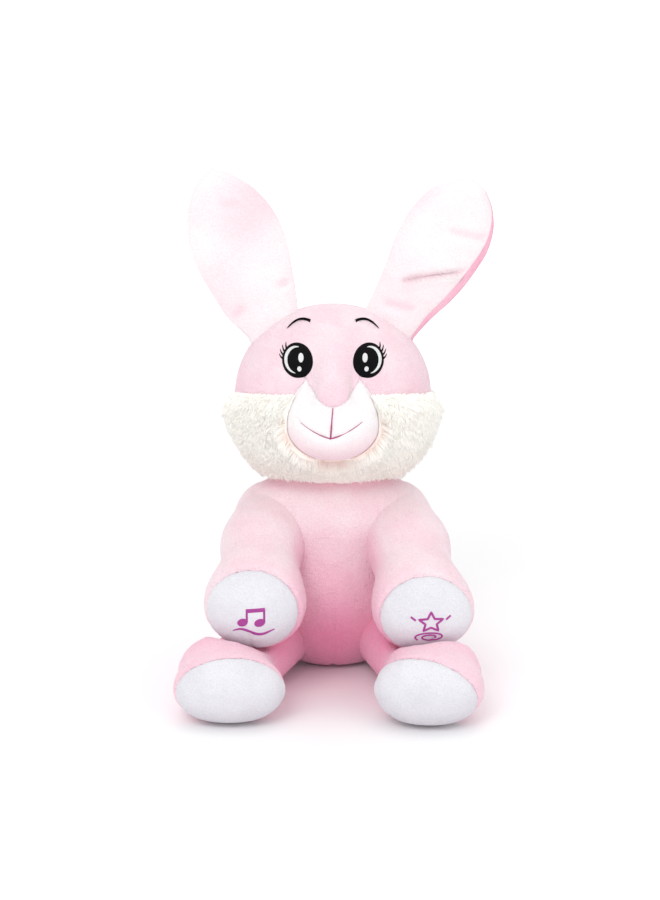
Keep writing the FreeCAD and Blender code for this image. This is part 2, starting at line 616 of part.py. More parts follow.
def sound_case():
    """The front half of the module, with a speaker grille in its front wall."""
    block = module_box("sound_block", 0, "module_front", "module_middle")
    hollow = module_box("sound_hollow", "module_wall", "module_front + module_wall", "module_middle + 1")
    holes = []
    pitch = 6
    for across in range(-2, 3):
        for up in range(-2, 3):
            if across * across + up * up > 5:
                continue
            holes.append(rod_y(f"grille_hole_{across + 2}_{up + 2}", 1.6, "module_front - 1",
                               "module_front + module_wall + 1", across * pitch,
                               f"(module_low + module_high) / 2 + {up * pitch}"))
    holes.append(rod_z("sound_top_slot", 3.4, "module_high - 5", "module_high + 2", 0, "module_front + 4.6"))
    for side_name, side in SIDES.items():
        exit_hole = Part.makeCylinder(2, 20, lead_start(side), lead_direction(side))
        holes.append(solid(f"sound_lead_hole_{side_name}", exit_hole))
    keep("sound_case", cut("sound_case_body", block, hollow, *holes))


def battery_box():
    """The rear half of the module: three cells side by side, a door rebate and the switch slot."""
    block = module_box("battery_block", 0, "module_middle", "module_back")
    bay = box("battery_bay", ("-module_half_width + 3", "module_middle + 1.6", "cell_first_z - cell_pitch / 2"),
              ("module_half_width - 3", "module_back + 1", "module_high - 2.6"))
    rebate = box("door_rebate", ("-module_half_width + 1.2", "module_back - door_thick", "door_low - 0.4"),
                 ("module_half_width - 1.2", "module_back + 1", "module_high - 1.2"))
    screw_hole = rod_y("door_screw_hole", "screw_radius + 0.3", "module_back - 12", "module_back", 0,
                       "door_screw_z")
    slot = box("switch_slot", (-5, "module_back - 3", "switch_z - 1.6"), (5, "module_back + 1", "switch_z + 1.6"))
    pocket = box("switch_pocket", (-8, "module_middle - 1", "module_low + 1"),
                 (8, "module_back - 2", "switch_z + 3"))
    keep("battery_box", cut("battery_box_body", block, bay, rebate, screw_hole, slot, pocket))

    plate = box("door_plate", ("-module_half_width + 1.6", "module_back - door_thick", "door_low"),
                ("module_half_width - 1.6", "module_back", "module_high - 1.6"))
    grips = [box(f"door_grip_{index}", (-9, "module_back - 0.1", f"door_low + 36 + {index * 3}"),
                 (9, "module_back + 0.7", f"door_low + 37.4 + {index * 3}")) for index in range(3)]
    door_hole = rod_y("door_hole", "screw_radius", "module_back - 4", "module_back + 2", 0, "door_screw_z")
    keep("battery_door", cut("battery_door_body", fuse("door_blank", plate, *grips), door_hole))
    shank = rod_y("door_screw_shank", "screw_radius", "module_back - 9", "module_back", 0, "door_screw_z")
    cap = rod_y("door_screw_cap", 2.6, "module_back", "module_back + 1.4", 0, "door_screw_z")
    keep("battery_door_screw", fuse("door_screw", shank, cap))


def battery_cells():
    cells = []
    contacts = []
    half = "cell_length / 2"
    for index in range(3):
        z = f"cell_first_z + {index} * cell_pitch"
        can = rod_x(f"cell_can_{index}", "cell_radius", f"-{half}", f"{half} - 1", "cell_y", z)
        nub = rod_x(f"cell_nub_{index}", 2.6, f"{half} - 1", half, "cell_y", z)
        cells.append(fuse(f"cell_{index}", can, nub))
        plate = box(f"contact_plate_{index}", ("-module_half_width + 3", "cell_y - 5", f"{z} - 5"),
                    ("-module_half_width + 3.4", "cell_y + 5", f"{z} + 5"))
        spring = rod_x(f"contact_spring_{index}", 3, "-module_half_width + 3.4", f"-{half}", "cell_y", z)
        far_plate = box(f"far_plate_{index}", (half, "cell_y - 5", f"{z} - 5"),
                        (f"{half} + 0.4", "cell_y + 5", f"{z} + 5"))
        contacts += [fuse(f"contact_{index}", plate, spring), far_plate]
    group("battery_cells", *cells)
    group("battery_contacts", *contacts)


def electronics():
    """Speaker behind the grille, circuit board beside the cells' wall, and the slide switch."""
    middle = "(module_low + module_high) / 2"
    start = "module_front + module_wall"
    rim = rod_y("speaker_rim", "speaker_radius", start, f"{start} + 1.2", 0, middle)
    basket = doc.addObject("Part::Cone", "speaker_basket")
    bind(basket, Radius1="speaker_radius - 4", Radius2="speaker_radius - 1", Height=5)
    place(basket, 0, f"{start} + 6.2", middle, (1, 0, 0), 90)
    hollow = doc.addObject("Part::Cone", "speaker_hollow")
    bind(hollow, Radius1="speaker_radius - 5", Radius2="speaker_radius - 2", Height=5)
    place(hollow, 0, f"{start} + 5.2", middle, (1, 0, 0), 90)
    mouth = rod_y("speaker_mouth", "speaker_radius - 2", f"{start} - 1", f"{start} + 1.2", 0, middle)
    keep("speaker_frame", cut("speaker_frame_body", fuse("speaker_blank", rim, basket), hollow, mouth))
    diaphragm = doc.addObject("Part::Cone", "speaker_diaphragm")
    bind(diaphragm, Radius1=4, Radius2="speaker_radius - 3.4", Height=2.4)
    place(diaphragm, 0, f"{start} + 3.8", middle, (1, 0, 0), 90)
    keep("speaker_cone", diaphragm)
    keep("speaker_magnet", rod_y("magnet", 9, f"{start} + 6.2", f"{start} + 10.4", 0, middle))

    board_y = "module_middle - 4"
    board = box("board", ("-module_half_width + 4", board_y, "module_low + 4"),
                ("module_half_width - 4", f"{board_y} + 1.6", "module_high - 4"))
    keep("circuit_board", board)
    chip = box("sound_chip", (-24, f"{board_y} - 1.6", "module_low + 8"), (-14, board_y, "module_low + 18"))
    driver = box("motor_driver", (14, f"{board_y} - 1.4", "module_low + 8"), (20, board_y, "module_low + 13"))
    capacitor = rod_z("capacitor", 2.5, "module_high - 16", "module_high - 6", -24, f"{board_y} - 2.5")
    group("board_components", chip, driver, capacitor)

    body = box("switch_block", (-7.5, "module_back - 9", "switch_z - 2.6"),
               (7.5, "module_back - 3.2", "switch_z + 2.6"))
    channel = box("switch_channel", (-4.6, "module_back - 6", "switch_z - 1.2"),
                  (4.6, "module_back - 1", "switch_z + 1.2"))
    keep("switch_body", cut("switch_housing", body, channel))
    keep("switch_slider", box("slider", ("-switch_travel", "module_back - 5.8", "switch_z - 1"),
                              (0, "module_back + 0.8", "switch_z + 1")))


def torso_leads():
    """The motor lead up to the neck, and the two paw leads up to the shoulders."""
    radius = size["lead_radius"]
    rise = Vector(0, size["module_front"] + 8, size["module_high"] - 6)
    bend = Vector(0, size["head_y"], size["module_high"] + 16)
    top = Vector(0, size["head_y"], size["torso_top"] + size["neck_gap"] / 2 - 0.2)
    motor_lead = Part.makeCylinder(radius, (bend - rise).Length, rise, bend - rise)
    motor_lead = motor_lead.fuse(Part.makeCylinder(radius, (top - bend).Length, bend, top - bend))
    motor_lead = motor_lead.fuse(Part.makeSphere(radius, bend))
    solids = [solid("motor_lead_low", motor_lead)]
    for side_name, side in SIDES.items():
        direction = lead_direction(side)
        lead = Part.makeCylinder(radius, direction.Length - 1.5, lead_start(side), direction)
        solids.append(solid(f"paw_lead_low_{side_name}", lead))
    group("torso_leads", *solids)


def head_lead():
    keep("head_lead", rod_z("motor_lead_high", "lead_radius", "torso_top + neck_gap / 2 + 0.2",
                            "case_low + 4", 0, "head_y"))


torso()
head()
cheek_fur()
muzzle()
eyes_and_brows()
nose_and_mouth()
train_places = gear_train()
ear_shaft()
motor(train_places["motor"])
gearbox_case(train_places)
for name in SIDES:
    ear(name)
    arm(name)
legs()
sound_case()
battery_box()
battery_cells()
electronics()
torso_leads()
head_lead()
doc.recompute()

# ---- checks and files --------------------------------------------------------------------------

for item in doc.Objects:
    if "Invalid" in item.State or "Error" in item.State:
        raise RuntimeError(f"{item.Name} did not compute: {item.State}")
for node, item in sub_parts.items():
    if item.Shape.isNull() or not item.Shape.isValid() or not item.Shape.Solids:
        raise RuntimeError(f"{node} is not a valid solid")

os.makedirs("parts", exist_ok=True)
for node, item in sub_parts.items():
    item.Shape.exportStep(f"parts/{node}.step")
print(f"{len(sub_parts)} sub-parts")
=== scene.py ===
"""A sitting plush rabbit with embroidered eyes, long-pile cheeks, white paw pads and soles.

Every stuffed piece starts as a field: a function that is negative inside the piece. A skin is wrapped
round the field, grooved along its seams, and cut into its fabric panels at those seams. The arms and legs
are also swelled by cloth simulation. Lengths in the fields are in millimetres, and meshes are in metres.
"""
import math

import bmesh
import bpy
import numpy as np
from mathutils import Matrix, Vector


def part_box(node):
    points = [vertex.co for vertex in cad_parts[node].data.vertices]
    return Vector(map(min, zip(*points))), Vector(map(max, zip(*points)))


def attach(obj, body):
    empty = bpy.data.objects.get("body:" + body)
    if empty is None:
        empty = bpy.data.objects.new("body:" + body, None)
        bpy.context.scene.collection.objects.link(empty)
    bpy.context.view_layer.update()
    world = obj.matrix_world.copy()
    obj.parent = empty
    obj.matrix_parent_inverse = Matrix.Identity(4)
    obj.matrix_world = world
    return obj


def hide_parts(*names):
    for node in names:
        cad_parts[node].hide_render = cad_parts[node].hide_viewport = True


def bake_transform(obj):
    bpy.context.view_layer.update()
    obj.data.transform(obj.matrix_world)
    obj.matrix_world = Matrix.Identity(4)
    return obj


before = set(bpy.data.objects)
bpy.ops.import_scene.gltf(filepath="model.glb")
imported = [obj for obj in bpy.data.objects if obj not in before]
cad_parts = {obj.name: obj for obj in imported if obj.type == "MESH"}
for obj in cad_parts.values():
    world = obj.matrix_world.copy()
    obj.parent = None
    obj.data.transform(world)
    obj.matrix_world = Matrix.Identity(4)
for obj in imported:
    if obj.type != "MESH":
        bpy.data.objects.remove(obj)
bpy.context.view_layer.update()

MM = 0.001
SIDES = {"left": 1, "right": -1}
FAR_OFF = 99
SCENE = bpy.context.scene
TOY_MIDDLE = (0, -0.03, 0.15)


# ---------------------------------------------------------------- camera, lights and floor

def point_at(item, target):
    """Turns a camera or light so that it looks at target."""
    direction = Vector(target) - item.location
    item.rotation_euler = direction.to_track_quat("-Z", "Y").to_euler()


def add_camera():
    """A long lens 12 degrees above the toy's middle, as a product photographer stands."""
    data = bpy.data.cameras.new("camera")
    data.lens = 74.3
    data.sensor_width = 36
    data.shift_x = -0.0033
    data.shift_y = -0.0143
    camera = bpy.data.objects.new("camera", data)
    SCENE.collection.objects.link(camera)
    camera.location = (0, -1.3016, 0.4403)
    point_at(camera, (0, -0.030, 0.170))
    SCENE.camera = camera


def add_light(name, place, target, size, watts):
    """A round soft light that looks at target."""
    data = bpy.data.lights.new(name, "AREA")
    data.shape = "DISK"
    data.size = size
    data.energy = watts
    light = bpy.data.objects.new(name, data)
    SCENE.collection.objects.link(light)
    light.location = place
    point_at(light, target)


def add_stage():
    """A white sweep: a floor that curves up into a backdrop far behind the toy."""
    radius = 0.8
    back = 1.4
    bends = 14
    profile = [(-3.0, 0.0), (back, 0.0)]
    for step in range(1, bends + 1):
        angle = math.pi / 2 * step / bends
        profile.append((back + radius * math.sin(angle), radius * (1 - math.cos(angle))))
    profile.append((back + radius, 3.5))
    points = [(x, y, z) for y, z in profile for x in (-4, 4)]
    faces = [(2 * i, 2 * i + 1, 2 * i + 3, 2 * i + 2) for i in range(len(profile) - 1)]
    mesh = bpy.data.meshes.new("floor")
    mesh.from_pydata(points, [], faces)
    floor = bpy.data.objects.new("floor", mesh)
    SCENE.collection.objects.link(floor)
    floor.location.z = -0.0005
    floor.data.materials.append(paper_material())
    for face in mesh.polygons:
        face.use_smooth = True


def light_scene():
    """Soft daylight from all round, stronger from the front left, and a bright backdrop."""
    add_light("key", (-0.55, -1.5, 1.35), TOY_MIDDLE, 1.1, 11)
    add_light("fill", (1.2, -1.3, 0.7), TOY_MIDDLE, 1.2, 4)
    add_light("top", (0.0, 0.2, 1.7), TOY_MIDDLE, 1.4, 4)
    add_light("backdrop", (0, 1.2, 1.3), (0, 2.2, 0.9), 1.0, 14)
    world = bpy.data.worlds.new("studio")
    world.use_nodes = True
    background = world.node_tree.nodes["Background"]
    background.inputs["Color"].default_value = (1, 1, 1, 1)
    background.inputs["Strength"].default_value = 0.78
    SCENE.world = world
    SCENE.view_settings.view_transform = "Standard"


# ---------------------------------------------------------------- materials

def new_material(name, roughness):
    """A material, its node tree and its principled shader."""
    material = bpy.data.materials.new(name)
    material.use_nodes = True
    shader = material.node_tree.nodes["Principled BSDF"]
    shader.inputs["Roughness"].default_value = roughness
    return material, material.node_tree, shader


def noise_factor(tree, scale, detail=2.0):
    """A noise over the piece's own coordinates."""
    place = tree.nodes.new("ShaderNodeTexCoord")
    noise = tree.nodes.new("ShaderNodeTexNoise")
    noise.inputs["Scale"].default_value = scale
    noise.inputs["Detail"].default_value = detail
    tree.links.new(place.outputs["Object"], noise.inputs["Vector"])
    return noise.outputs["Fac"]


def contrast(tree, factor, low, high):
    """Spreads the part of factor from low to high over 0 to 1."""
    spread = tree.nodes.new("ShaderNodeMapRange")
    spread.inputs["From Min"].default_value = low
    spread.inputs["From Max"].default_value = high
    tree.links.new(factor, spread.inputs["Value"])
    return spread.outputs["Result"]


def mixed(tree, factor, first, second, blend="MIX"):
    """A colour between first and second. Each is a colour or a socket."""
    mix = tree.nodes.new("ShaderNodeMix")
    mix.data_type = "RGBA"
    mix.blend_type = blend
    tree.links.new(factor, mix.inputs["Factor"])
    for key, value in (("A", first), ("B", second)):
        socket = [s for s in mix.inputs if s.name == key and s.type == "RGBA"][0]
        if isinstance(value, tuple):
            socket.default_value = (*value, 1)
        else:
            tree.links.new(value, socket)
    return [s for s in mix.outputs if s.type == "RGBA"][0]


def attribute_factor(tree, name):
    """The number that paint has stored on the piece under this name."""
    node = tree.nodes.new("ShaderNodeAttribute")
    node.attribute_name = name
    return node.outputs["Fac"]


def bump(tree, shader, heights):
    """Adds one bump after another. heights has pairs of a factor and its height in metres."""
    normal = None
    for factor, height in heights:
        node = tree.nodes.new("ShaderNodeBump")
        node.inputs["Distance"].default_value = height
        tree.links.new(factor, node.inputs["Height"])
        if normal is not None:
            tree.links.new(normal, node.inputs["Normal"])
        normal = node.outputs["Normal"]
    tree.links.new(normal, shader.inputs["Normal"])


def plush_material(name, pale, deep, shade, pile):
    """Short-pile plush: pale where the nap is brushed up, deep where it lies flat, and blended towards a
    painted shade colour by a number painted on each point (an even tint on a few pieces).
    """
    material, tree, shader = new_material(name, 0.95)
    nap = contrast(tree, noise_factor(tree, 42, 3), 0.38, 0.66)
    fibres = contrast(tree, noise_factor(tree, 900, 2), 0.3, 0.7)
    brushed = mixed(tree, nap, pale, deep)
    # painted shade: each point's painted number blends the nap colour towards the shade colour
    shaded = mixed(tree, attribute_factor(tree, "painted_shade_and_tint"), brushed, shade)
    speckled = mixed(tree, fibres, shaded, (0.93, 0.90, 0.91), "MULTIPLY")
    tree.links.new(speckled, shader.inputs["Base Color"])
    shader.inputs["Specular IOR Level"].default_value = 0.15
    shader.inputs["Sheen Weight"].default_value = 0.45
    shader.inputs["Sheen Roughness"].default_value = 0.45
    bump(tree, shader, [(noise_factor(tree, 110, 3), 2.2 * pile), (fibres, 0.6 * pile)])
    return material


def fur_material(name, tip, root, shade):
    """Long pile: tip at the strands' ends, root deep in the pile, and blended towards a painted shade colour
    by a number painted on each point.

    A little light of its own stands for the light that real fur passes from strand to strand.
    """
    material, tree, shader = new_material(name, 0.8)
    tufts = contrast(tree, noise_factor(tree, 70, 2), 0.35, 0.65)
    along = mixed(tree, attribute_factor(tree, "tip"), root, tip)
    warmed = mixed(tree, tufts, along, tip)
    # painted shade: each point's painted number blends the fur colour towards the shade colour
    shaded = mixed(tree, attribute_factor(tree, "painted_shade_and_tint"), warmed, shade)
    tree.links.new(shaded, shader.inputs["Base Color"])
    shader.inputs["Specular IOR Level"].default_value = 0.1
    shader.inputs["Sheen Weight"].default_value = 0.3
    shader.inputs["Emission Color"].default_value = (*tip, 1)
    shader.inputs["Emission Strength"].default_value = 0.16
    bump(tree, shader, [(noise_factor(tree, 700, 2), 0.0003)])
    return material


def thread_material(name, colour, roughness):
    """Satin-stitched thread: fine ribs across the stitching, along the u of the piece's UV map, with a
    painted sheen that makes each rib's crest lighter.
    """
    material, tree, shader = new_material(name, roughness)
    place = tree.nodes.new("ShaderNodeUVMap")
    ribs = tree.nodes.new("ShaderNodeTexWave")
    ribs.inputs["Scale"].default_value = 0.5
    ribs.inputs["Distortion"].default_value = 0.6
    tree.links.new(place.outputs["UV"], ribs.inputs["Vector"])
    # painted sheen: the crest of each rib is painted lighter
    rib_sheen_colour = tuple(min(1.0, c * 1.25 + 0.004) for c in colour)
    ribs_with_painted_sheen = mixed(tree, ribs.outputs["Fac"], colour, rib_sheen_colour)
    tree.links.new(ribs_with_painted_sheen, shader.inputs["Base Color"])
    shader.inputs["Specular IOR Level"].default_value = 0.08
    bump(tree, shader, [(ribs.outputs["Fac"], 0.00015)])
    return material


def hard_material(name, colour, roughness, metallic):
    """Moulded plastic, metal, board or rubber, with a fine grain and slight blotches of tone."""
    material, tree, shader = new_material(name, roughness)
    darker = tuple(0.86 * c for c in colour)
    tone = contrast(tree, noise_factor(tree, 60, 3), 0.35, 0.7)
    tree.links.new(mixed(tree, tone, colour, darker), shader.inputs["Base Color"])
    shader.inputs["Metallic"].default_value = metallic
    bump(tree, shader, [(noise_factor(tree, 600, 3), 0.00004)])
    return material


# Pale nap, deep nap and shade, and the pile's depth in metres.
PLUSH_LOOKS = {
    "pink_plush": ((0.965, 0.79, 0.84), (0.955, 0.71, 0.78), (0.98, 0.38, 0.58), 0.0007),
    "pink_ear_back": ((0.95, 0.62, 0.72), (0.93, 0.52, 0.65), (0.90, 0.34, 0.50), 0.0007),
    "white_velour": ((0.96, 0.94, 0.94), (0.95, 0.90, 0.91), (0.94, 0.70, 0.76), 0.0004),
    "white_pad": ((0.80, 0.81, 0.85), (0.76, 0.76, 0.81), (0.62, 0.55, 0.62), 0.0004),
}
# Strand tips, strand roots and shade.
FUR_LOOK = ((0.98, 0.97, 0.93), (0.97, 0.93, 0.88), (0.88, 0.68, 0.62))
# Colour and roughness.
THREAD_LOOKS = {
    "black_thread": ((0.002, 0.002, 0.003), 0.6),
    "white_thread": ((0.85, 0.85, 0.87), 0.45),
    "pink_thread": ((0.50, 0.10, 0.25), 0.45),
    "magenta_thread": ((0.47, 0.08, 0.36), 0.45),
}


def make_materials():
    materials = {name: plush_material(name, *look) for name, look in PLUSH_LOOKS.items()}
    materials["cream_fur"] = fur_material("cream_fur", *FUR_LOOK)
    materials.update({name: thread_material(name, *look) for name, look in THREAD_LOOKS.items()})
    return materials


MATERIALS = make_materials()


def paper_material():
    """Matt white paper for the floor and backdrop."""
    material, tree, shader = new_material("white_paper", 0.9)
    tone = noise_factor(tree, 3, 2)
    tree.links.new(mixed(tree, tone, (0.96, 0.96, 0.965), (0.94, 0.94, 0.945)), shader.inputs["Base Color"])
    shader.inputs["Specular IOR Level"].default_value = 0.1
    return material


# ---------------------------------------------------------------- fields, in millimetres

def clamp(share):
    """Keeps a share between 0 and 1."""
    return np.clip(share, 0, 1)


def unit(vectors):
    """The same directions, one long each."""
    vectors = np.asarray(vectors, float)
    return vectors / np.maximum(np.linalg.norm(vectors, axis=-1, keepdims=True), 1e-9)


def on_side(place, side_name):
    """A place given for the toy's left side, on the side asked for."""
    return np.array(place, float) * (SIDES[side_name], 1, 1)


def ellipsoid(points, centre, radii):
    """Distance to an ellipsoid, near enough close to its surface."""
    scaled = (points - np.array(centre)) / np.array(radii)
    size = np.linalg.norm(scaled, axis=1)
    slope = np.linalg.norm(scaled / np.array(radii), axis=1)
    return size * (size - 1) / np.maximum(slope, 1e-9)


def tapered(points, start, end, start_radius, end_radius):
    """Distance to a rod with round ends whose radius changes along it."""
    start = np.array(start, float)
    run = np.array(end, float) - start
    share = clamp((points - start) @ run / (run @ run))
    reach = np.linalg.norm(points - start - share[:, None] * run, axis=1)
    return reach - (start_radius + share * (end_radius - start_radius))


def join(first, second, softness):
    """The union of two fields with a fillet between them."""
    share = clamp(0.5 + 0.5 * (second - first) / softness)
    return second * (1 - share) + first * share - softness * share * (1 - share)


def keep(first, second, softness):
    """What is inside both fields, with a rounded edge."""
    return -join(-first, -second, softness)


def waves(points, wavelength, seed, count=7):
    """A gentle lumpiness from -1 to 1: a few sine waves in random directions."""
    draw = np.random.default_rng(seed)
    total = np.zeros(len(points))
    for _ in range(count):
        direction = draw.normal(size=3)
        direction *= 2 * math.pi / (wavelength * draw.uniform(0.75, 1.35) * np.linalg.norm(direction))
        total += np.sin(points @ direction + draw.uniform(0, 2 * math.pi))
    return total / count ** 0.5 / 1.5


def wander(points, wavelength, seed):
    """A gently changing direction at each point."""
    return np.stack([waves(points, wavelength, seed + axis) for axis in range(3)], axis=1)


def smooth_curve(stations, values, at):
    """A smooth curve through a few points, with no overshoot at the ends."""
    stations = np.array(stations, float)
    values = np.array(values, float)
    slopes = np.gradient(values, stations)
    at = np.clip(at, stations[0], stations[-1])
    span = np.clip(np.searchsorted(stations, at) - 1, 0, len(stations) - 2)
    width = stations[span + 1] - stations[span]
    t = (at - stations[span]) / width
    start = (1 + 2 * t) * (1 - t) ** 2 * values[span] + t * (1 - t) ** 2 * width * slopes[span]
    end = t * t * (3 - 2 * t) * values[span + 1] + t * t * (t - 1) * width * slopes[span + 1]
    return start + end


# ---------------------------------------------------------------- skins

REACH = 190.0
HALVINGS = 26
VOXEL = 4.5
HELD_WIDTH = 3.2
LAST_FRAME = 20
PUCKER = 0.25


def surface_points(field, centre, directions):
    """Where rays from centre leave the field."""
    centre = np.array(centre, float)
    near = np.zeros(len(directions))
    far = np.full(len(directions), REACH)
    for _ in range(HALVINGS):
        middle = (near + far) / 2
        inside = field(centre + directions * middle[:, None]) < 0
        near = np.where(inside, middle, near)
        far = np.where(inside, far, middle)
    return centre + directions * far[:, None]


def wrap(field, centre, fineness=7):
    """A closed skin round a field that is all in sight of centre."""
    ball = bmesh.new()
    bmesh.ops.create_icosphere(ball, subdivisions=fineness, radius=1)
    directions = unit([v.co for v in ball.verts])
    faces = [[v.index for v in f.verts] for f in ball.faces]
    ball.free()
    return surface_points(field, centre, directions), faces


def grid_faces(rows, columns, rows_meet=False, columns_meet=False):
    """Quads between points that are listed row by row. The last row or column may meet the first."""
    faces = []
    for row in range(rows if rows_meet else rows - 1):
        for column in range(columns if columns_meet else columns - 1):
            low = row * columns
            high = (row + 1) % rows * columns
            after = (column + 1) % columns
            faces.append((low + column, low + after, high + after, high + column))
    return faces


def make_object(name, points, faces, material_name=None):
    """A smooth mesh from points in millimetres."""
    mesh = bpy.data.meshes.new(name)
    mesh.from_pydata((np.asarray(points) * MM).tolist(), [], [list(map(int, f)) for f in faces])
    mesh.polygons.foreach_set("use_smooth", [True] * len(mesh.polygons))
    mesh.update()
    piece = bpy.data.objects.new(name, mesh)
    SCENE.collection.objects.link(piece)
    if material_name is not None:
        mesh.materials.append(MATERIALS[material_name])
    return piece


def read_mesh(piece):
    """The points in millimetres and the faces of a piece, modifiers included."""
    graph = bpy.context.evaluated_depsgraph_get()
    shown = piece.evaluated_get(graph)
    mesh = shown.to_mesh()
    points = np.empty(len(mesh.vertices) * 3)
    mesh.vertices.foreach_get("co", points)
    faces = [tuple(f.vertices) for f in mesh.polygons]
    shown.to_mesh_clear()
    return points.reshape(-1, 3) / MM, faces


def normals_of(points, faces):
    """Unit vertex normals."""
    piece = make_object("scratch", points, faces)
    normals = np.empty(len(points) * 3)
    piece.data.vertex_normals.foreach_get("vector", normals)
    bpy.data.objects.remove(piece)
    return normals.reshape(-1, 3)


def swell(points, faces, seam, cap):
    """Cloth filled with air: the skin swells by up to cap millimetres, and its seam stays."""
    piece = make_object("swelling", points, faces)
    remesh = piece.modifiers.new("remesh", "REMESH")
    remesh.mode = "VOXEL"
    remesh.voxel_size = VOXEL * MM
    start, quads = read_mesh(piece)
    bpy.data.objects.remove(piece)
    piece = make_object("swelling", start, quads)
    cloth = piece.modifiers.new("cloth", "CLOTH")
    held = piece.vertex_groups.new(name="seam")
    for index in np.nonzero(np.abs(seam(start)) < HELD_WIDTH)[0]:
        held.add([int(index)], 1.0, "REPLACE")
    settings = cloth.settings
    settings.vertex_group_mass = "seam"
    settings.quality = 6
    settings.mass = 0.2
    settings.use_pressure = True
    settings.uniform_pressure_force = 4
    settings.effector_weights.gravity = 0
    settings.tension_stiffness = 12
    settings.compression_stiffness = 12
    settings.bending_stiffness = 0.4
    cloth.point_cache.frame_start = 1
    cloth.point_cache.frame_end = LAST_FRAME
    for moment in range(1, LAST_FRAME + 1):
        SCENE.frame_set(moment)
    moved, _ = read_mesh(piece)
    SCENE.frame_set(1)
    bpy.data.objects.remove(piece)
    shift = moved - start
    length = np.linalg.norm(shift, axis=1)
    shift *= np.minimum(1, cap / np.maximum(length, 1e-9))[:, None]
    piece = make_object("swelling", start + shift, quads)
    smooth = piece.modifiers.new("smooth", "SMOOTH")
    smooth.iterations = 2
    finer = piece.modifiers.new("finer", "SUBSURF")
    finer.levels = 2
    result = read_mesh(piece)
    bpy.data.objects.remove(piece)
    return result


def seam_groove(points, faces, seam, depth, width):
    """Draws the skin in along a seam, with the small puckers that the thread pulls."""
    normals = normals_of(points, faces)
    distance = seam(points)
    near = np.exp(-(distance / width) ** 2)
    beside = np.exp(-(distance / (3.2 * width)) ** 2) - near
    drawn = depth * near * (1 + PUCKER * waves(points, 7, 3))
    drawn += 0.35 * depth * PUCKER * beside * waves(points, 9, 4)
    return points - normals * drawn[:, None]


def cut(points, faces, seam):
    """Cuts a skin at its seam into the side where seam is negative and the rest."""
    points = points.copy()
    normals = normals_of(points, faces)
    step = 0.05
    value = seam(points)
    slope = [(seam(points + step * axis) - value) / step for axis in np.eye(3)]
    slope = np.stack(slope, axis=1)
    slope -= normals * np.sum(slope * normals, axis=1)[:, None]
    size = np.maximum(np.sum(slope * slope, axis=1), 0.05)
    edges = np.array([(f[0], f[1]) for f in faces])
    length = np.zeros(len(points))
    spans = np.linalg.norm(points[edges[:, 0]] - points[edges[:, 1]], axis=1)
    np.maximum.at(length, edges[:, 0], spans)
    snap = 0.62
    shortest = 0.4
    close = np.abs(value) / np.sqrt(size) < snap * np.maximum(length, shortest)
    points[close] -= (slope * (value / size)[:, None])[close]
    inside = seam(face_middles(points, faces)) < 0
    return [part(points, faces, inside), part(points, faces, ~inside)]


def part(points, faces, chosen):
    """The chosen faces, with only the points that they use."""
    kept = [f for f, take in zip(faces, chosen) if take]
    used = np.unique([i for f in kept for i in f])
    place = {old: new for new, old in enumerate(used)}
    return points[used], [[place[i] for i in f] for f in kept]


def close_back(piece, centre):
    """Closes a cut skin with a cone to the point that it was wrapped from, out of sight inside the toy."""
    mesh = bmesh.new()
    mesh.from_mesh(piece.data)
    rim = [e.link_loops[0] for e in mesh.edges if e.is_boundary]
    apex = mesh.verts.new(Vector(centre) * MM)
    for loop in rim:
        mesh.faces.new((loop.link_loop_next.vert, loop.vert, apex))
    mesh.to_mesh(piece.data)
    mesh.free()


def face_middles(points, faces):
    """The mean of each face's corners."""
    return np.array([points[list(f)].mean(axis=0) for f in faces])


def coordinates_of(piece):
    """The points of a piece in millimetres."""
    return np.array([v.co for v in piece.data.vertices]) / MM


def paint(piece, name, value):
    """Stores one number for each point of a piece, for its material to read."""
    values = np.broadcast_to(value, len(piece.data.vertices))
    attribute = piece.data.attributes.new(name, "FLOAT", "POINT")
    attribute.data.foreach_set("value", np.asarray(values, np.float32))


def cover(name, points, faces, centre, material_name, painted_shade_and_tint):
    """A fabric piece cut from a skin round centre. Its last argument says from 0 to 1 how much painted shade
    its colour has.
    """
    piece = make_object(name, points, faces, material_name)
    close_back(piece, centre)
    # painted shade stored on each point
    paint(piece, "painted_shade_and_tint", painted_shade_and_tint(coordinates_of(piece)))
    return piece


# ---------------------------------------------------------------- long pile

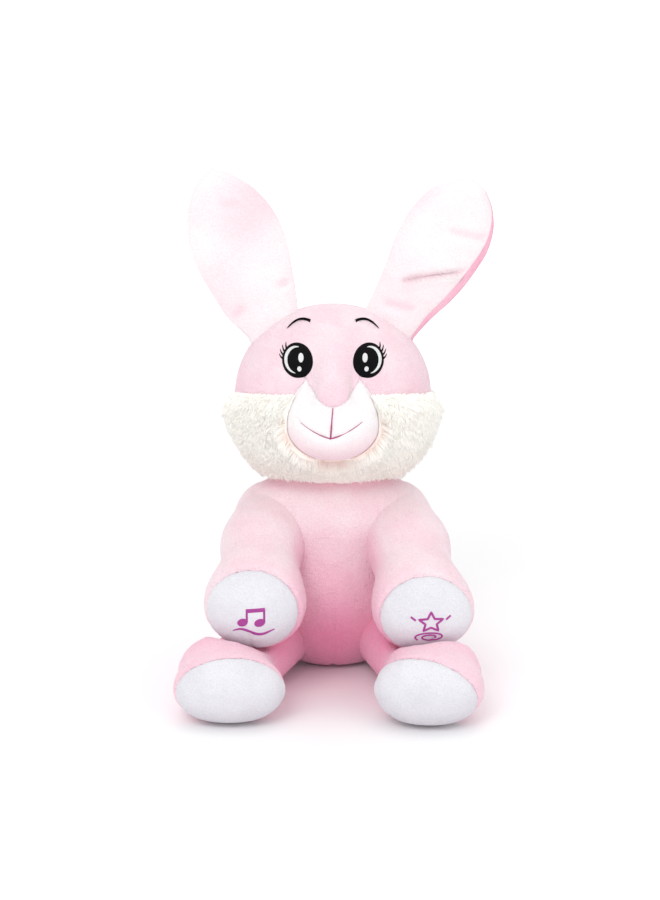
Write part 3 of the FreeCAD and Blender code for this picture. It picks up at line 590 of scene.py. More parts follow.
def make_pile(name, roots, normals, lie, length, thickness, material_name, seed, clump=6):
    """Tapered strands that grow from roots, lean along lie and gather into tufts at their tips."""
    draw = np.random.default_rng(seed)
    count = len(roots)
    scatter = 0.22
    bow = 0.22
    gathered = 0.42
    tuft = 14
    lengths = length * draw.uniform(0.7, 1.2, count)
    heading = unit(normals + lie + draw.normal(scale=scatter, size=(count, 3)))
    tips = roots + heading * lengths[:, None]
    leaders = draw.choice(count, size=max(1, count // tuft), replace=False)
    gather = np.empty(count, int)
    block = 500
    for first in range(0, count, block):
        some = slice(first, first + block)
        gap = np.linalg.norm(roots[some, None] - roots[leaders][None], axis=2)
        gather[some] = leaders[gap.argmin(axis=1)]
    pull = tips[gather] - tips
    reach = np.linalg.norm(pull, axis=1)
    pull *= np.minimum(1, clump / np.maximum(reach, 1e-9))[:, None]
    tips += gathered * pull
    bend = normals * (bow * lengths)[:, None]
    side = unit(np.cross(heading, normals + 0.01))
    other = np.cross(heading, side)
    levels = 3
    rings = []
    shares = []
    for level in range(levels):
        t = level / levels
        spine = roots * (1 - t) + tips * t + bend * (4 * t * (1 - t))
        radius = thickness * (1 - 0.75 * t)
        for corner in range(3):
            angle = 2 * math.pi * corner / 3
            rings.append(spine + radius * (math.cos(angle) * side + math.sin(angle) * other))
            shares.append(np.full(count, t))
    rings.append(tips)
    shares.append(np.ones(count))
    points = np.stack(rings, axis=1).reshape(-1, 3)
    share = np.stack(shares, axis=1).reshape(-1)
    tip = 3 * levels
    last = tip - 3
    pattern = grid_faces(levels, 3, columns_meet=True)
    pattern += [(last, last + 1, tip), (last + 1, last + 2, tip), (last + 2, last, tip)]
    faces = [tuple(i + (tip + 1) * strand for i in f) for strand in range(count) for f in pattern]
    piece = make_object(name, points, faces, material_name)
    paint(piece, "tip", share)
    return piece


# ---------------------------------------------------------------- embroidery

# Stitches for each millimetre, and how far their rims sink into the fabric.
THREAD_COUNT = 2.2
SINK = 0.15


def directions_along(line):
    """The unit direction of a line at each of its points. A line that ends where it starts is a loop."""
    ahead = np.gradient(line, axis=0)
    if np.allclose(line[0], line[-1]):
        ahead[0] = ahead[-1] = line[1] - line[-2]
    return unit(ahead)


def satin(name, line, widths, lift, material_name, surface):
    """A ribbon of satin stitch along line, which is points on the plane that surface drapes onto the toy."""
    line = np.array(line, float)
    widths = np.broadcast_to(widths, len(line))
    ahead = directions_along(line)
    across = np.stack([-ahead[:, 1], ahead[:, 0]], axis=1)
    length = np.concatenate([[0], np.cumsum(np.linalg.norm(np.diff(line, axis=0), axis=1))])
    columns = 7
    grid = []
    coordinates = []
    for step in range(columns):
        a = 2 * step / (columns - 1) - 1
        flat = line + across * (0.5 * a * widths)[:, None]
        raised = np.full(len(line), lift) * math.sqrt(max(0.0, 1 - a * a)) * np.clip(widths / 1.2, 0.25, 1)
        grid.append(surface(flat, raised - SINK))
        coordinates.append(np.stack([length * THREAD_COUNT, np.full(len(line), a)], axis=1))
    points = np.concatenate(grid)
    uv = np.concatenate(coordinates)
    piece = make_object(name, points, grid_faces(columns, len(line)), material_name)
    set_uv(piece, uv)
    return piece


def set_uv(piece, uv):
    """Stores a UV map that has one place for each point."""
    layer = piece.data.uv_layers.new(name="UVMap")
    corners = np.empty(len(piece.data.loops), int)
    piece.data.loops.foreach_get("vertex_index", corners)
    layer.data.foreach_set("uv", uv[corners].reshape(-1).astype(np.float32))


def stitched_disc(name, centre, radii, lift, material_name, surface, turn=0.0):
    """A filled satin-stitch oval with a rounded rim."""
    around = 64
    rings = 16
    angles = np.linspace(0, 2 * math.pi, around, endpoint=False)
    circle = np.stack([radii[0] * np.cos(angles), radii[1] * np.sin(angles)], axis=1)
    spin = np.array([[math.cos(turn), math.sin(turn)], [-math.sin(turn), math.cos(turn)]])
    rim = 0.14
    points = []
    uv = []
    for ring in range(rings + 1):
        share = 1 - ring / rings
        flat = share * circle @ spin + np.array(centre)
        height = lift * math.sqrt(max(0.0, 1 - (max(0.0, share - 1 + rim) / rim) ** 2))
        points.append(surface(flat, np.full(around, height - SINK)))
        uv.append(np.stack([flat[:, 1] * THREAD_COUNT, flat[:, 0]], axis=1))
    faces = grid_faces(rings + 1, around, columns_meet=True)
    piece = make_object(name, np.concatenate(points), faces, material_name)
    set_uv(piece, np.concatenate(uv))
    return piece


def merge(name, pieces):
    """Joins pieces into one object."""
    bpy.ops.object.select_all(action="DESELECT")
    for piece in pieces:
        piece.select_set(True)
    bpy.context.view_layer.objects.active = pieces[0]
    bpy.ops.object.join()
    pieces[0].name = name
    return pieces[0]


def settle(piece, body, replaced=()):
    """Ties a finished piece to its body and the plain solids that it stands for."""
    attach(piece, body)
    if replaced:
        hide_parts(*replaced)


def settle_across(piece, start, replaced):
    """For fabric that is sewn on at one body and would move with the next: bakes its placement into its mesh
    and hides the plain solids that it stands for, but ties it to no body.
    """
    tuple(MM * v for v in start)
    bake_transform(piece)
    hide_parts(*replaced)


# ---------------------------------------------------------------- head, muzzle and cheeks

HEAD_CENTRE = (0, -5, 197)
HEAD_RADII = (69.5, 60, 63.5)
FACE_MIDDLE = (0, -30, 192)
FUR_TOP = 198
FUR_BOTTOM = 136
FUR_BACK = 12


def face_field(points):
    """The head with its bridge, muzzle, cheek bulges and chin."""
    head = ellipsoid(points, HEAD_CENTRE, HEAD_RADII)
    both_sides = [points * (side, 1, 1) for side in SIDES.values()]
    ball = ellipsoid(points, (0, -64, 183.5), (32.5, 25, 22))
    for half in both_sides:
        ball = join(ball, ellipsoid(half, (11.5, -73, 190), (15.5, 15, 12.5)), 7)
    bridge = tapered(points, (0, -76, 203), (0, -52, 232), 12.5, 9)
    for half in both_sides:
        ball = join(ball, tapered(half, (21, -66, 198), (18.5, -62, 210.5), 7.5, 3.5), 6)
    return join(join(head, bridge, 12), ball, 5)


MUZZLE_HEIGHTS = (160, 166, 172, 178, 185, 192, 198, 204, 210, 216)
MUZZLE_HALF_WIDTHS = (6, 18, 25.5, 30, 32, 31.6, 30, 27.2, 23.6, 18.6)
MUZZLE_BOTTOM = 158
MUZZLE_BACK = -42
NOSE_POINT = 202.5
HORN_RISE = 14.5
HORN_X = 18.5


def muzzle_outline(points):
    """Negative inside the outer edge of the muzzle and the nose gusset above it."""
    x, y, z = points.T
    outer = np.abs(x) - smooth_curve(MUZZLE_HEIGHTS, MUZZLE_HALF_WIDTHS, z)
    return np.maximum(np.maximum(outer, y - MUZZLE_BACK), MUZZLE_BOTTOM - z)


def muzzle_seam(points):
    """Negative on the white muzzle: inside its outer edge and under the nose gusset's curve."""
    x = np.abs(points[:, 0])
    gusset = points[:, 2] - (NOSE_POINT + HORN_RISE * (x / HORN_X) ** 2.1)
    slope = 2.1 * HORN_RISE / HORN_X * (x / HORN_X) ** 1.1
    return np.maximum(muzzle_outline(points), gusset / np.sqrt(1 + slope ** 2))


LIP_X = -1.6
LIP_Z = 181


def smile_height(x):
    """The smile line, a flat curve that meets the centre seam at its lowest point."""
    return LIP_Z + 11 * (np.abs(x - LIP_X) / 21.5) ** 1.4


def lip_side(z):
    """The centre seam leans a little to one side on its way down."""
    return LIP_X * clamp((NOSE_POINT - z) / (NOSE_POINT - LIP_Z))


def lip_seam(points):
    """Distance to the centre seam and the smile line, on the front of the muzzle."""
    x, y, z = points.T
    smile = np.hypot(z - smile_height(x), np.maximum(0, np.abs(x - LIP_X) - 22))
    centre = np.hypot(x - lip_side(z), np.maximum(0, np.maximum(LIP_Z - z, z - NOSE_POINT)))
    distance = np.minimum(np.abs(smile), centre)
    return np.where(y < -60, distance, FAR_OFF)


def on_face(flat, lift):
    """Drapes points of the front view, x and z, onto the face and lifts them off it."""
    before_face = -110.0
    inside_head = -30.0
    low = np.full(len(flat), before_face)
    high = np.full(len(flat), inside_head)
    for _ in range(24):
        depth = (low + high) / 2
        inside = face_field(np.stack([flat[:, 0], depth, flat[:, 1]], axis=1)) < 0
        high = np.where(inside, depth, high)
        low = np.where(inside, low, depth)
    points = np.stack([flat[:, 0], high, flat[:, 1]], axis=1)
    outward = gradient(face_field, points)
    return points + outward * np.asarray(lift)[:, None]


def gradient(field, points):
    """The unit direction in which a field grows fastest."""
    step = 0.4
    slope = [field(points + step * axis) - field(points - step * axis) for axis in np.eye(3)]
    return unit(np.stack(slope, axis=1))


def head_painted_shade(points):
    """Painted shade: the pink is a little deeper round the edge of the face, low down above the fur and
    towards the back.
    """
    x, y, z = points.T
    low = clamp((225 - z) / 60) * 0.22
    side = clamp((np.abs(x) - 45) / 30) * 0.18
    behind = clamp((y + 10) / 30) * 0.15
    return clamp(low + side + behind)


def muzzle_painted_shade(points):
    """Painted pink shade and painted reflected pink light on the chin, under the smile."""
    x, y, z = points.T
    return clamp((180 + 8 * (np.abs(x) / 25) ** 2 - z) / 14) * 0.8


def make_head():
    points, faces = wrap(face_field, FACE_MIDDLE)
    points = seam_groove(points, faces, muzzle_seam, 0.7, 1.3)
    points = seam_groove(points, faces, lip_seam, 1.5, 1.7)
    white, pink = cut(points, faces, muzzle_seam)
    head = cover("head_cover", *pink, FACE_MIDDLE, "pink_plush", head_painted_shade)
    settle(head, "head", ["head_plush", "nose_gusset"])
    muzzle = cover("muzzle_cover", *white, FACE_MIDDLE, "white_velour", muzzle_painted_shade)
    settle(muzzle, "head", ["muzzle"])


def make_mouth():
    """The centre seam and the smile, in sewing thread."""
    def grooved(flat, lift):
        return on_face(flat, np.asarray(lift) - 1.15)

    across = LIP_X + np.linspace(-21, 22, 60)
    smile = np.stack([across, smile_height(across)], axis=1)
    smile_width = 0.95 * (1 - 0.55 * np.abs(across) / 22)
    down = np.linspace(NOSE_POINT - 0.5, LIP_Z - 0.5, 30)
    centre = np.stack([lip_side(down), down], axis=1)
    centre_width = np.linspace(0.55, 1.15, 30)
    mouth = merge("mouth_thread", [
        satin("smile", smile, smile_width, 0.45, "pink_thread", grooved),
        satin("lip", centre, centre_width, 0.5, "pink_thread", grooved)])
    settle(mouth, "head", ["mouth_stitching"])


EYE_X = 24.2
EYE_Z = 228.2
EYE_RADII = (10.8, 11.3)


def make_eye(side_name):
    """An embroidered eye: black disc, white crescent on its outer side, two highlights and four lashes."""
    def beside(x, z):
        """A place measured outward and up from the eye's middle."""
        return np.array([SIDES[side_name] * (EYE_X + x), EYE_Z + z])

    stitches = [stitched_disc("disc", beside(0, 0), EYE_RADII, 0.9, "black_thread", on_face)]
    for turn, length in ((3, 3.2), (16, 3.8), (29, 3.9), (42, 3.6)):
        angle = math.radians(turn)
        steps = np.linspace(0, 1, 14)
        reach = EYE_RADII[0] - 1 + length * steps
        lift = angle + 0.2 * steps ** 1.5
        line = [beside(r * math.cos(a), r * math.sin(a)) for r, a in zip(reach, lift)]
        widths = 1.7 * (1 - 0.65 * steps)
        stitches.append(satin("lash", line, widths, 0.6, "black_thread", on_face))
    eye = merge("eye_" + side_name + "_cover", stitches)
    settle(eye, "head", ["eye_" + side_name])

    def on_disc(flat, lift):
        return on_face(flat, np.asarray(lift) + 0.78)

    sweep = np.radians(np.linspace(98, -82, 40))
    crescent = [beside(7.7 * math.cos(a), 8.3 * math.sin(a)) for a in sweep]
    widths = 2.5 * np.sin(np.linspace(0.04, 0.97, 40) * math.pi) ** 0.8
    shine = merge("eye_" + side_name + "_shine", [
        satin("crescent", crescent, widths, 0.4, "white_thread", on_disc),
        stitched_disc("highlight", beside(-2.6, 1.7), (1.85, 3.0), 0.4, "white_thread", on_disc),
        stitched_disc("glint", beside(-1.6, -5.4), (1.5, 1.65), 0.4, "white_thread", on_disc)])
    settle(shine, "head")


def make_brows():
    """Two embroidered brows, thick at the inner end and fading outward."""
    brows = []
    for side in SIDES.values():
        t = np.linspace(0, 1, 26)
        x = 15.5 + 16.5 * t
        z = 249.5 + 6.4 * np.sin(math.pi * (0.14 + 0.72 * t)) - 5.5 * t
        line = np.stack([side * x, z], axis=1)
        widths = 1.9 * (1 - t) ** 0.55 + 0.25
        brows.append(satin("brow", line, widths, 0.7, "black_thread", on_face))
    piece = merge("brows_cover", brows)
    settle(piece, "head", ["brows"])


def fur_top(points):
    """The band's top edge, which rises a little towards the muzzle."""
    return FUR_TOP - 0.15 * np.minimum(points[:, 1] + 5, 0)


def fur_taper(points):
    """From 0 at the band's top and back edges to 1 well inside it, with a wavy back edge."""
    top = (fur_top(points) - points[:, 2]) / 9
    back = (FUR_BACK + 3 * waves(points, 15, 6) - points[:, 1]) / 14
    return clamp(np.minimum(top, back))


def fur_painted_shade(points):
    """Painted pink shade low on the cheeks, and painted shadow close under the muzzle."""
    low = clamp((166 - points[:, 2]) / 26) * 0.4
    tucked = clamp(1 - muzzle_outline(points) / 8) * clamp((192 - points[:, 2]) / 14)
    return np.maximum(low, tucked)


def make_cheek_fur():
    """The long-pile band round the lower face, from the sides of the head to the muzzle."""
    draw = np.random.default_rng(11)
    count = 42000
    furthest = 122
    middle = (0, -5, 185)
    distance = 62
    angle = np.radians(draw.uniform(-furthest, furthest, count))
    height = draw.uniform(FUR_BOTTOM + 2, FUR_TOP + 10, count)
    directions = unit(np.stack([np.sin(angle), -np.cos(angle), (height - middle[2]) / distance], axis=1))
    roots = surface_points(face_field, middle, directions)
    taper = fur_taper(roots)
    clear = (muzzle_outline(roots) > 0.2) & (roots[:, 2] > FUR_BOTTOM) & (taper > 0)
    roots = roots[clear]
    taper = taper[clear]
    normals = gradient(face_field, roots)
    beside = clamp(muzzle_outline(roots) / 5)
    roots = roots + normals * (0.5 + 1.6 * beside * taper)[:, None]
    lie = 0.4 * wander(roots, 16, 21) + (0, 0, -1)
    length = 3.5 + 6.5 * clamp(1.4 * taper)
    for side_name, side in SIDES.items():
        half = roots[:, 0] * side >= 0
        pile = make_pile("cheek_pile_" + side_name, roots[half], normals[half], lie[half],
                         length[half], 0.42, "cream_fur", 31 + side)
        paint(pile, "painted_shade_and_tint", fur_painted_shade(coordinates_of(pile)))
        settle(pile, "head")


def make_fur_base():
    """The knitted back of the long pile, with the pile's own lumps."""
    def field(points):
        beside = clamp(muzzle_outline(points) / 5)
        thickness = beside * fur_taper(points) * (2.4 + 1.3 * waves(points, 13, 9))
        head = face_field(points) - 0.2 - thickness
        band = np.maximum(points[:, 2] - fur_top(points) + 1, FUR_BOTTOM + 1 - points[:, 2])
        behind = points[:, 1] - FUR_BACK - 3 * waves(points, 15, 6)
        return np.maximum(np.maximum(head, band), behind)

    points, faces = wrap(field, (0, -30, 170))
    outside = muzzle_outline(face_middles(points, faces)) > -0.8
    points, faces = part(points, faces, outside)
    base = make_object("cheek_base", points, faces, "cream_fur")
    paint(base, "tip", 0.5)
    paint(base, "painted_shade_and_tint", fur_painted_shade(points))
    settle(base, "head", ["cheek_fur"])


# ---------------------------------------------------------------- ears

EARS = {
    "right": {
        "root": (-43, 243), "tip": (-84, 355.5),
        "outer": (18, 26.5, 30.5, 34.2, 31.5, 22.5, 12.2, 5.0, 0),
        "inner": (20.5, 25, 28.5, 31.8, 28.5, 18.5, 8.5, 3.2, 0),
        "roll": 0.0,
        "folds": ((0.24, 0.05, -0.98, -0.5, 3.0, 0.022), (0.22, -0.30, 0.35, 0.95, 2.0, 0.025),
                  (0.78, 0.2, -0.5, 0.2, 1.2, 0.03)),
    },
    "left": {
        "root": (41, 246), "tip": (97, 348),
        "outer": (18.5, 23, 29, 33.2, 32.6, 24.5, 14.8, 8.0, 0),
        "inner": (21.5, 22.5, 24.5, 28.2, 27, 20, 10.5, 5.0, 0),
        "roll": 5.5,
        "folds": ((0.33, 0.56, -0.45, 1.1, 5.0, 0.018), (0.66, 0.23, -0.05, 1.1, 2.2, 0.025),
                  (0.13, 0.15, -0.7, 0.5, 2.2, 0.025)),
    },
}
EAR_STATIONS = (0, 0.15, 0.3, 0.52, 0.7, 0.86, 0.95, 0.985, 1.0)
EAR_DEPTH = -6
EAR_ROWS = 90
EAR_COLUMNS = 34


def ear_creases(folds, along, across):
    """How far the front of an ear is drawn in, in millimetres, by its soft folds.

    A fold has its place along the ear, its tilt, where it starts and ends across, its depth and its width.
    """
    drawn = np.zeros(len(across))
    for place, tilt, start, end, depth, width in folds:
        line = along - place - tilt * across * 0.3
        fade = clamp((across - start) / 0.25) * clamp((end - across) / 0.2)
        drawn += depth * fade * np.exp(-(line / width) ** 2)
        drawn -= 0.45 * depth * fade * np.exp(-((line + 2.4 * width) / (1.6 * width)) ** 2)
    return drawn


def make_ear(side_name):
    """A flat stuffed leaf: a white velour front and a pink back, sewn round the edge."""
    ear = EARS[side_name]
    side = SIDES[side_name]
    root = np.array(ear["root"], float)
    run = np.array(ear["tip"], float) - root
    length = np.linalg.norm(run)
    run /= length
    outward = side * np.array([run[1], -run[0]])
    t = np.sin(np.linspace(-0.09, 1, EAR_ROWS) * math.pi / 2)
    outer = smooth_curve(EAR_STATIONS, ear["outer"], np.maximum(t, 0))
    inner = smooth_curve(EAR_STATIONS, ear["inner"], np.maximum(t, 0))
    across = np.sin(np.linspace(-math.pi / 2, math.pi / 2, EAR_COLUMNS))
    thick = 8.2 * clamp(np.minimum(outer, inner) / 14) ** 0.6
    for face_name, facing in (("front", -1), ("back", 1)):
        points = []
        crease_shade = []
        for row in range(EAR_ROWS):
            width = np.where(across > 0, outer[row], inner[row])
            rolled = ear["roll"] * math.sin(math.pi * min(1, max(0, 0.12 + t[row])))
            width = width - rolled * (across > 0)
            if facing > 0:
                bulge = np.sqrt(clamp(1 - ((across - 0.85) / 0.15) ** 2))
                width = width + bulge * (rolled + 0.15 * width) * (rolled > 0)
            x, z = (root + run * (t[row] * length) + outward * (across * width)[:, None]).T
            crown = thick[row] * (1 - np.abs(across) ** 2.4) ** 0.8
            drawn = ear_creases(ear["folds"], t[row], across) * (facing < 0)
            drawn = np.minimum(drawn, 0.8 * crown)
            layer = np.full(EAR_COLUMNS, 40.0 * facing)
            lumps = 0.6 * waves(np.stack([x, layer, z], axis=1), 26, 40) * (1 - across ** 2)
            depth = EAR_DEPTH + facing * (crown - drawn + lumps) - 1.5 * across ** 2
            points.append(np.stack([x, depth, z], axis=1))
            # painted shade in the folds: deeper where the front is drawn in
            crease_shade.append(np.clip(drawn / 4, 0, 0.5))
        faces = grid_faces(EAR_ROWS, EAR_COLUMNS)
        if facing * side < 0:
            faces = [quad[::-1] for quad in faces]
        points = np.concatenate(points)
        tint = ear_tint(side_name, points) if facing < 0 else 0.25
        slot_name = "white_velour" if facing < 0 else "pink_ear_back"
        piece = make_object("ear_" + side_name + "_" + face_name, points, faces, slot_name)
        # painted shade in the folds plus the pink tint on the front, and an even tint on the back
        paint(piece, "painted_shade_and_tint", np.concatenate(crease_shade) + tint)
        node = "ear_" + face_name + "_" + side_name
        reach = np.array((run[0], 0, run[1])) * length
        base = np.array((root[0], EAR_DEPTH, root[1]))
        settle_across(piece, base + 0.04 * reach,
                      [node])


def ear_tint(side_name, points):
    """Pink that shows through the white velour, in soft patches."""
    patches = clamp(0.35 + 0.8 * waves(points, 52, 60 + SIDES[side_name]))
    high = clamp((points[:, 2] - 285) / 40)
    return clamp(0.12 + patches * (0.35 + 0.45 * high))


# ---------------------------------------------------------------- torso and tail

TORSO_MIDDLE = (0, 0, 66)
BACK_PLANE = 43.5


def torso_field(points):
    """A round belly on a flat seat, narrower at the chest, with the flat at the back for the module."""
    belly = ellipsoid(points, (0, 1, 54), (60, 56, 62))
    chest = ellipsoid(points, (0, -4, 108), (54, 45, 36))
    body = join(belly, chest, 22)
    for side in SIDES.values():
        body = join(body, ellipsoid(points, (side * 40, -14, 110), (27, 27, 24)), 16)
    body = keep(body, -points[:, 2], 5)
    return keep(body, points[:, 1] - BACK_PLANE, 4)


def torso_seam(points):
    """The seams down both flanks, across the seat and up the front of the belly."""
    x, y, z = points.T
    flanks = np.where(z < 92, np.abs(y - 8), FAR_OFF)
    front = np.hypot(x, np.maximum(0, z - 62))
    return np.minimum(flanks, np.where(y < 0, front, FAR_OFF))


def torso_painted_shade(points):
    """Painted shade: pale at the chest, deep pink low on the belly and between the limbs, and a band of
    shade just under the fur.
    """
    x, y, z = points.T
    low = clamp((118 - z) / 85)
    between = clamp(1.1 - np.abs(x) / 60)
    # painted shade in a band just under the fur
    shade_under_fur = clamp((z - 131) / 6) * 0.4
    return clamp(low ** 1.5 * (0.25 + 0.75 * between) + shade_under_fur)


def make_torso():
    points, faces = wrap(torso_field, TORSO_MIDDLE)
    points = seam_groove(points, faces, torso_seam, 0.9, 1.6)
    low, high = (np.array(corner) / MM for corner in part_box("sound_case"))
    x, y, z = face_middles(points, faces).T
    opening = (np.abs(x) < high[0]) & (z > low[2]) & (z < high[2]) & (y > BACK_PLANE - 3)
    points, faces = part(points, faces, ~opening)
    piece = make_object("torso_cover", points, faces, "pink_plush")
    paint(piece, "painted_shade_and_tint", torso_painted_shade(points))
    settle_across(piece, (0, -5, 118), ["torso_plush"])
    make_hem(low, high)


def make_hem(low, high):
    """The bound edge of the opening round the module."""
    corner = 5
    bend = corner + 0.5
    depth = BACK_PLANE - 0.4
    route = []
    corners = ((high[0], high[2]), (low[0], high[2]), (low[0], low[2]), (high[0], low[2]))
    for first, (x, z) in zip((0, 90, 180, 270), corners):
        centre_x = x - math.copysign(corner, x)
        centre_z = z - corner if first < 180 else z + corner
        for angle in np.radians(np.linspace(first, first + 90, 8)):
            route.append((centre_x + bend * math.cos(angle), depth, centre_z + bend * math.sin(angle)))
    route.append(route[0])
    hem = tube("back_opening_hem", route, 1.9, "pink_plush")
    paint(hem, "painted_shade_and_tint", 0.5)
    settle(hem, "torso")


def tube(name, route, radius, material_name):
    """A round tube along a route of points."""
    route = np.array(route, float)
    ahead = directions_along(route)
    side = unit(np.cross(ahead, (0, 1, 0.001)))
    other = np.cross(ahead, side)
    around = 10
    points = []
    for corner in range(around):
        angle = 2 * math.pi * corner / around
        points.append(route + radius * (math.cos(angle) * side + math.sin(angle) * other))
    faces = grid_faces(around, len(route), rows_meet=True)
    return make_object(name, np.concatenate(points), faces, material_name)


def make_tail():
    """A round tail of long pile."""
    low, high = (np.array(corner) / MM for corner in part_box("tail"))
    centre = (low + high) / 2
    radius = (high[0] - low[0]) / 2
    count = 9000
    directions = unit(np.random.default_rng(71).normal(size=(count, 3)))
    roots = centre + directions * (radius - 4.5)
    standing = roots[:, 2] > 5
    roots = roots[standing]
    normals = directions[standing]
    lie = 0.35 * wander(roots, 11, 72) + (0, 0, -0.25)
    pile = make_pile("tail_pile", roots, normals, lie, 6.5, 0.5, "cream_fur", 75, clump=3)
    paint(pile, "painted_shade_and_tint", 0.1)
    lifted = coordinates_of(pile)
    lifted[:, 2] = np.maximum(lifted[:, 2], 0.6)
    pile.data.vertices.foreach_set("co", (lifted * MM).reshape(-1))
    settle(pile, "torso")

    def field(points):
        ball = ellipsoid(points, centre, (radius - 3.5,) * 3) - 0.8 * waves(points, 9, 76)
        return keep(ball, 1 - points[:, 2], 2)

    points, faces = wrap(field, centre, 5)
    base = make_object("tail_base", points, faces, "cream_fur")
    paint(base, "tip", 0.4)
    paint(base, "painted_shade_and_tint", 0.1)
    settle(base, "torso", ["tail"])


# ---------------------------------------------------------------- arms and paws

ARMS = {
    "right": {"paw": np.array((-53.0, -96, 68.0)), "radii": (35.0, 30.0), "mark": (2.5, -3.5)},
    "left": {"paw": np.array((61.5, -96, 64.5)), "radii": (35.0, 29.0), "mark": (1.0, -4.0)},
}
SHOULDER = (44, -10, 108)
PAD_LEAN = math.radians(3)
PAD_SEAM_AT = 9.5


def arm_line(side_name):
    """The shoulder and the middle of the paw."""
    return on_side(SHOULDER, side_name), ARMS[side_name]["paw"]


def arm_axes(side_name):
    """The pad's own axes: across, up and out of the pad."""
    side = SIDES[side_name]
    out = unit((0.10 * side, -math.cos(PAD_LEAN), -math.sin(PAD_LEAN)))
    across = unit(np.cross((0, 0, 1.0), out))
    return across, np.cross(out, across), out


def arm_field(side_name):
    """The arm as a field, and the place that it is wrapped from."""
    shoulder, paw = arm_line(side_name)
    wide, tall = ARMS[side_name]["radii"]
    axes = np.array(arm_axes(side_name))
    wrist = shoulder + (paw - shoulder) * 0.72 + (0, 0, 2)
    elbow = shoulder + (paw - shoulder) * 0.40 + (2 * SIDES[side_name], 0, 3)

    def field(points):
        local = (points - paw) @ axes.T
        end = ellipsoid(local, (0, 0, 0), (wide, tall, 27))
        upper = tapered(points, shoulder, elbow, 26.5, 26.5)
        lower = tapered(points, elbow, wrist, 26, 25.5)
        return join(join(upper, lower, 14), end, 24)

    return field, (shoulder + paw) / 2 + (0, -12, -3)


def pad_seam(side_name):
    """Negative on the pad's side of the seam round the paw."""
    paw = ARMS[side_name]["paw"]
    out = arm_axes(side_name)[2]

    def seam(points):
        return PAD_SEAM_AT - (points - paw) @ out
    return seam


def arm_seam(side_name):
    """The long seam under the arm."""
    shoulder, paw = arm_line(side_name)

    def seam(points):
        share = (points[:, 1] - shoulder[1]) / (paw[1] - shoulder[1])
        offset = points - shoulder - share[:, None] * (paw - shoulder)
        return np.where(offset[:, 2] > 0, FAR_OFF, offset[:, 0])
    return seam


def arm_painted_shade(side_name):
    """Painted shade: pale on top and deeper pink beneath and on the inner side."""
    shoulder, paw = arm_line(side_name)

    def painted_shade_and_tint(points):
        share = np.clip((points[:, 1] - shoulder[1]) / (paw[1] - shoulder[1]), 0, 1.3)
        offset = points - shoulder - share[:, None] * (paw - shoulder)
        inner = np.clip(-SIDES[side_name] * offset[:, 0] / 28, -0.6, 1)
        under = np.clip(-offset[:, 2] / 26, -1, 1)
        return clamp(0.05 + 0.55 * inner + 0.45 * under)
    return painted_shade_and_tint


def make_arm(side_name):
    """A sleeve from the torso to the paw, a padded paw pad and the stitched symbol on it."""
    field, middle = arm_field(side_name)
    seam = pad_seam(side_name)
    points, faces = swell(*wrap(field, middle), seam, 2.5)
    points = seam_groove(points, faces, seam, 1.5, 1.7)
    points = seam_groove(points, faces, arm_seam(side_name), 0.8, 1.5)
    pad, sleeve = cut(points, faces, seam)
    shoulder, paw = arm_line(side_name)
    piece = cover("arm_" + side_name + "_cover", *sleeve, middle,
                  "pink_plush", arm_painted_shade(side_name))
    settle_across(piece, shoulder + (paw - shoulder) * 0.02,
                  ["arm_" + side_name])
    out = arm_axes(side_name)[2]
    piece = cover("paw_" + side_name + "_cover", *pad, paw, "white_pad", pad_painted_shade(side_name))
    settle_across(piece, paw + out * PAD_SEAM_AT,
                  ["paw_pad_" + side_name])
    make_symbol(side_name, points, faces)


def pad_painted_shade(side_name):
    """The lower part of the pad has painted shade."""
    paw = ARMS[side_name]["paw"]

    def painted_shade_and_tint(points):
        return clamp((paw[2] - 4 - points[:, 2]) / 30) * 0.6
    return painted_shade_and_tint


def drape_on(points, faces, axes, origin):
    """Returns a function that drapes points of a pad's own plane onto a finished skin, and that skin."""
    piece = make_object("drape", points, faces)
    graph = bpy.context.evaluated_depsgraph_get()
    shown = piece.evaluated_get(graph)
    across, up, out = axes
    clear = 60

    def surface(flat, lift):
        result = []
        for (a, b), height in zip(flat, np.asarray(lift)):
            foot = origin + across * a + up * b
            hit, place, normal, _ = shown.ray_cast(Vector((foot + out * clear) * MM), Vector(-out))
            if not hit:
                place = Vector(foot * MM)
                normal = Vector(out)
            result.append(np.array(place) / MM + np.array(normal) * height)
        return np.array(result)
    return surface, piece


def make_symbol(side_name, points, faces):
    """A generic stitched symbol: a musical note with a flourish, or a star with a swirl."""
    paw = ARMS[side_name]["paw"]
    surface, target = drape_on(points, faces, arm_axes(side_name), paw)
    thread = "magenta_thread"
    strokes = (note_strokes if side_name == "right" else star_strokes)(thread, surface)
    bpy.data.objects.remove(target)
    piece = merge("paw_" + side_name + "_symbol", strokes)
    settle(piece, "paw_press_" + side_name + "_body")


def note_strokes(thread, surface):
    """A pair of beamed notes over a flourish."""
    x, z = ARMS["right"]["mark"]
    strokes = []
    for offset in (-7.0, 4.5):
        head = (x + offset, z + 0.5)
        strokes.append(stitched_disc("note", head, (3.8, 2.8), 0.6, thread, surface, 0.4))
        stem = np.linspace((head[0] + 3, head[1] + 0.5), (head[0] + 3, head[1] + 9), 12)
        strokes.append(satin("stem", stem, 1.7, 0.5, thread, surface))
    beam = np.linspace((x - 4.5, z + 8.6), (x + 8, z + 9.5), 16)
    strokes.append(satin("beam", beam, 3.0, 0.6, thread, surface))
    t = np.linspace(0, 1, 36)
    wave = np.stack([x - 14 + 28 * t, z - 6.4 + 1.9 * np.sin(2 * math.pi * t * 1.15)], axis=1)
    widths = 2.2 * np.sin(math.pi * (0.06 + 0.88 * t)) + 0.5
    strokes.append(satin("flourish", wave, widths, 0.5, thread, surface))
    return strokes


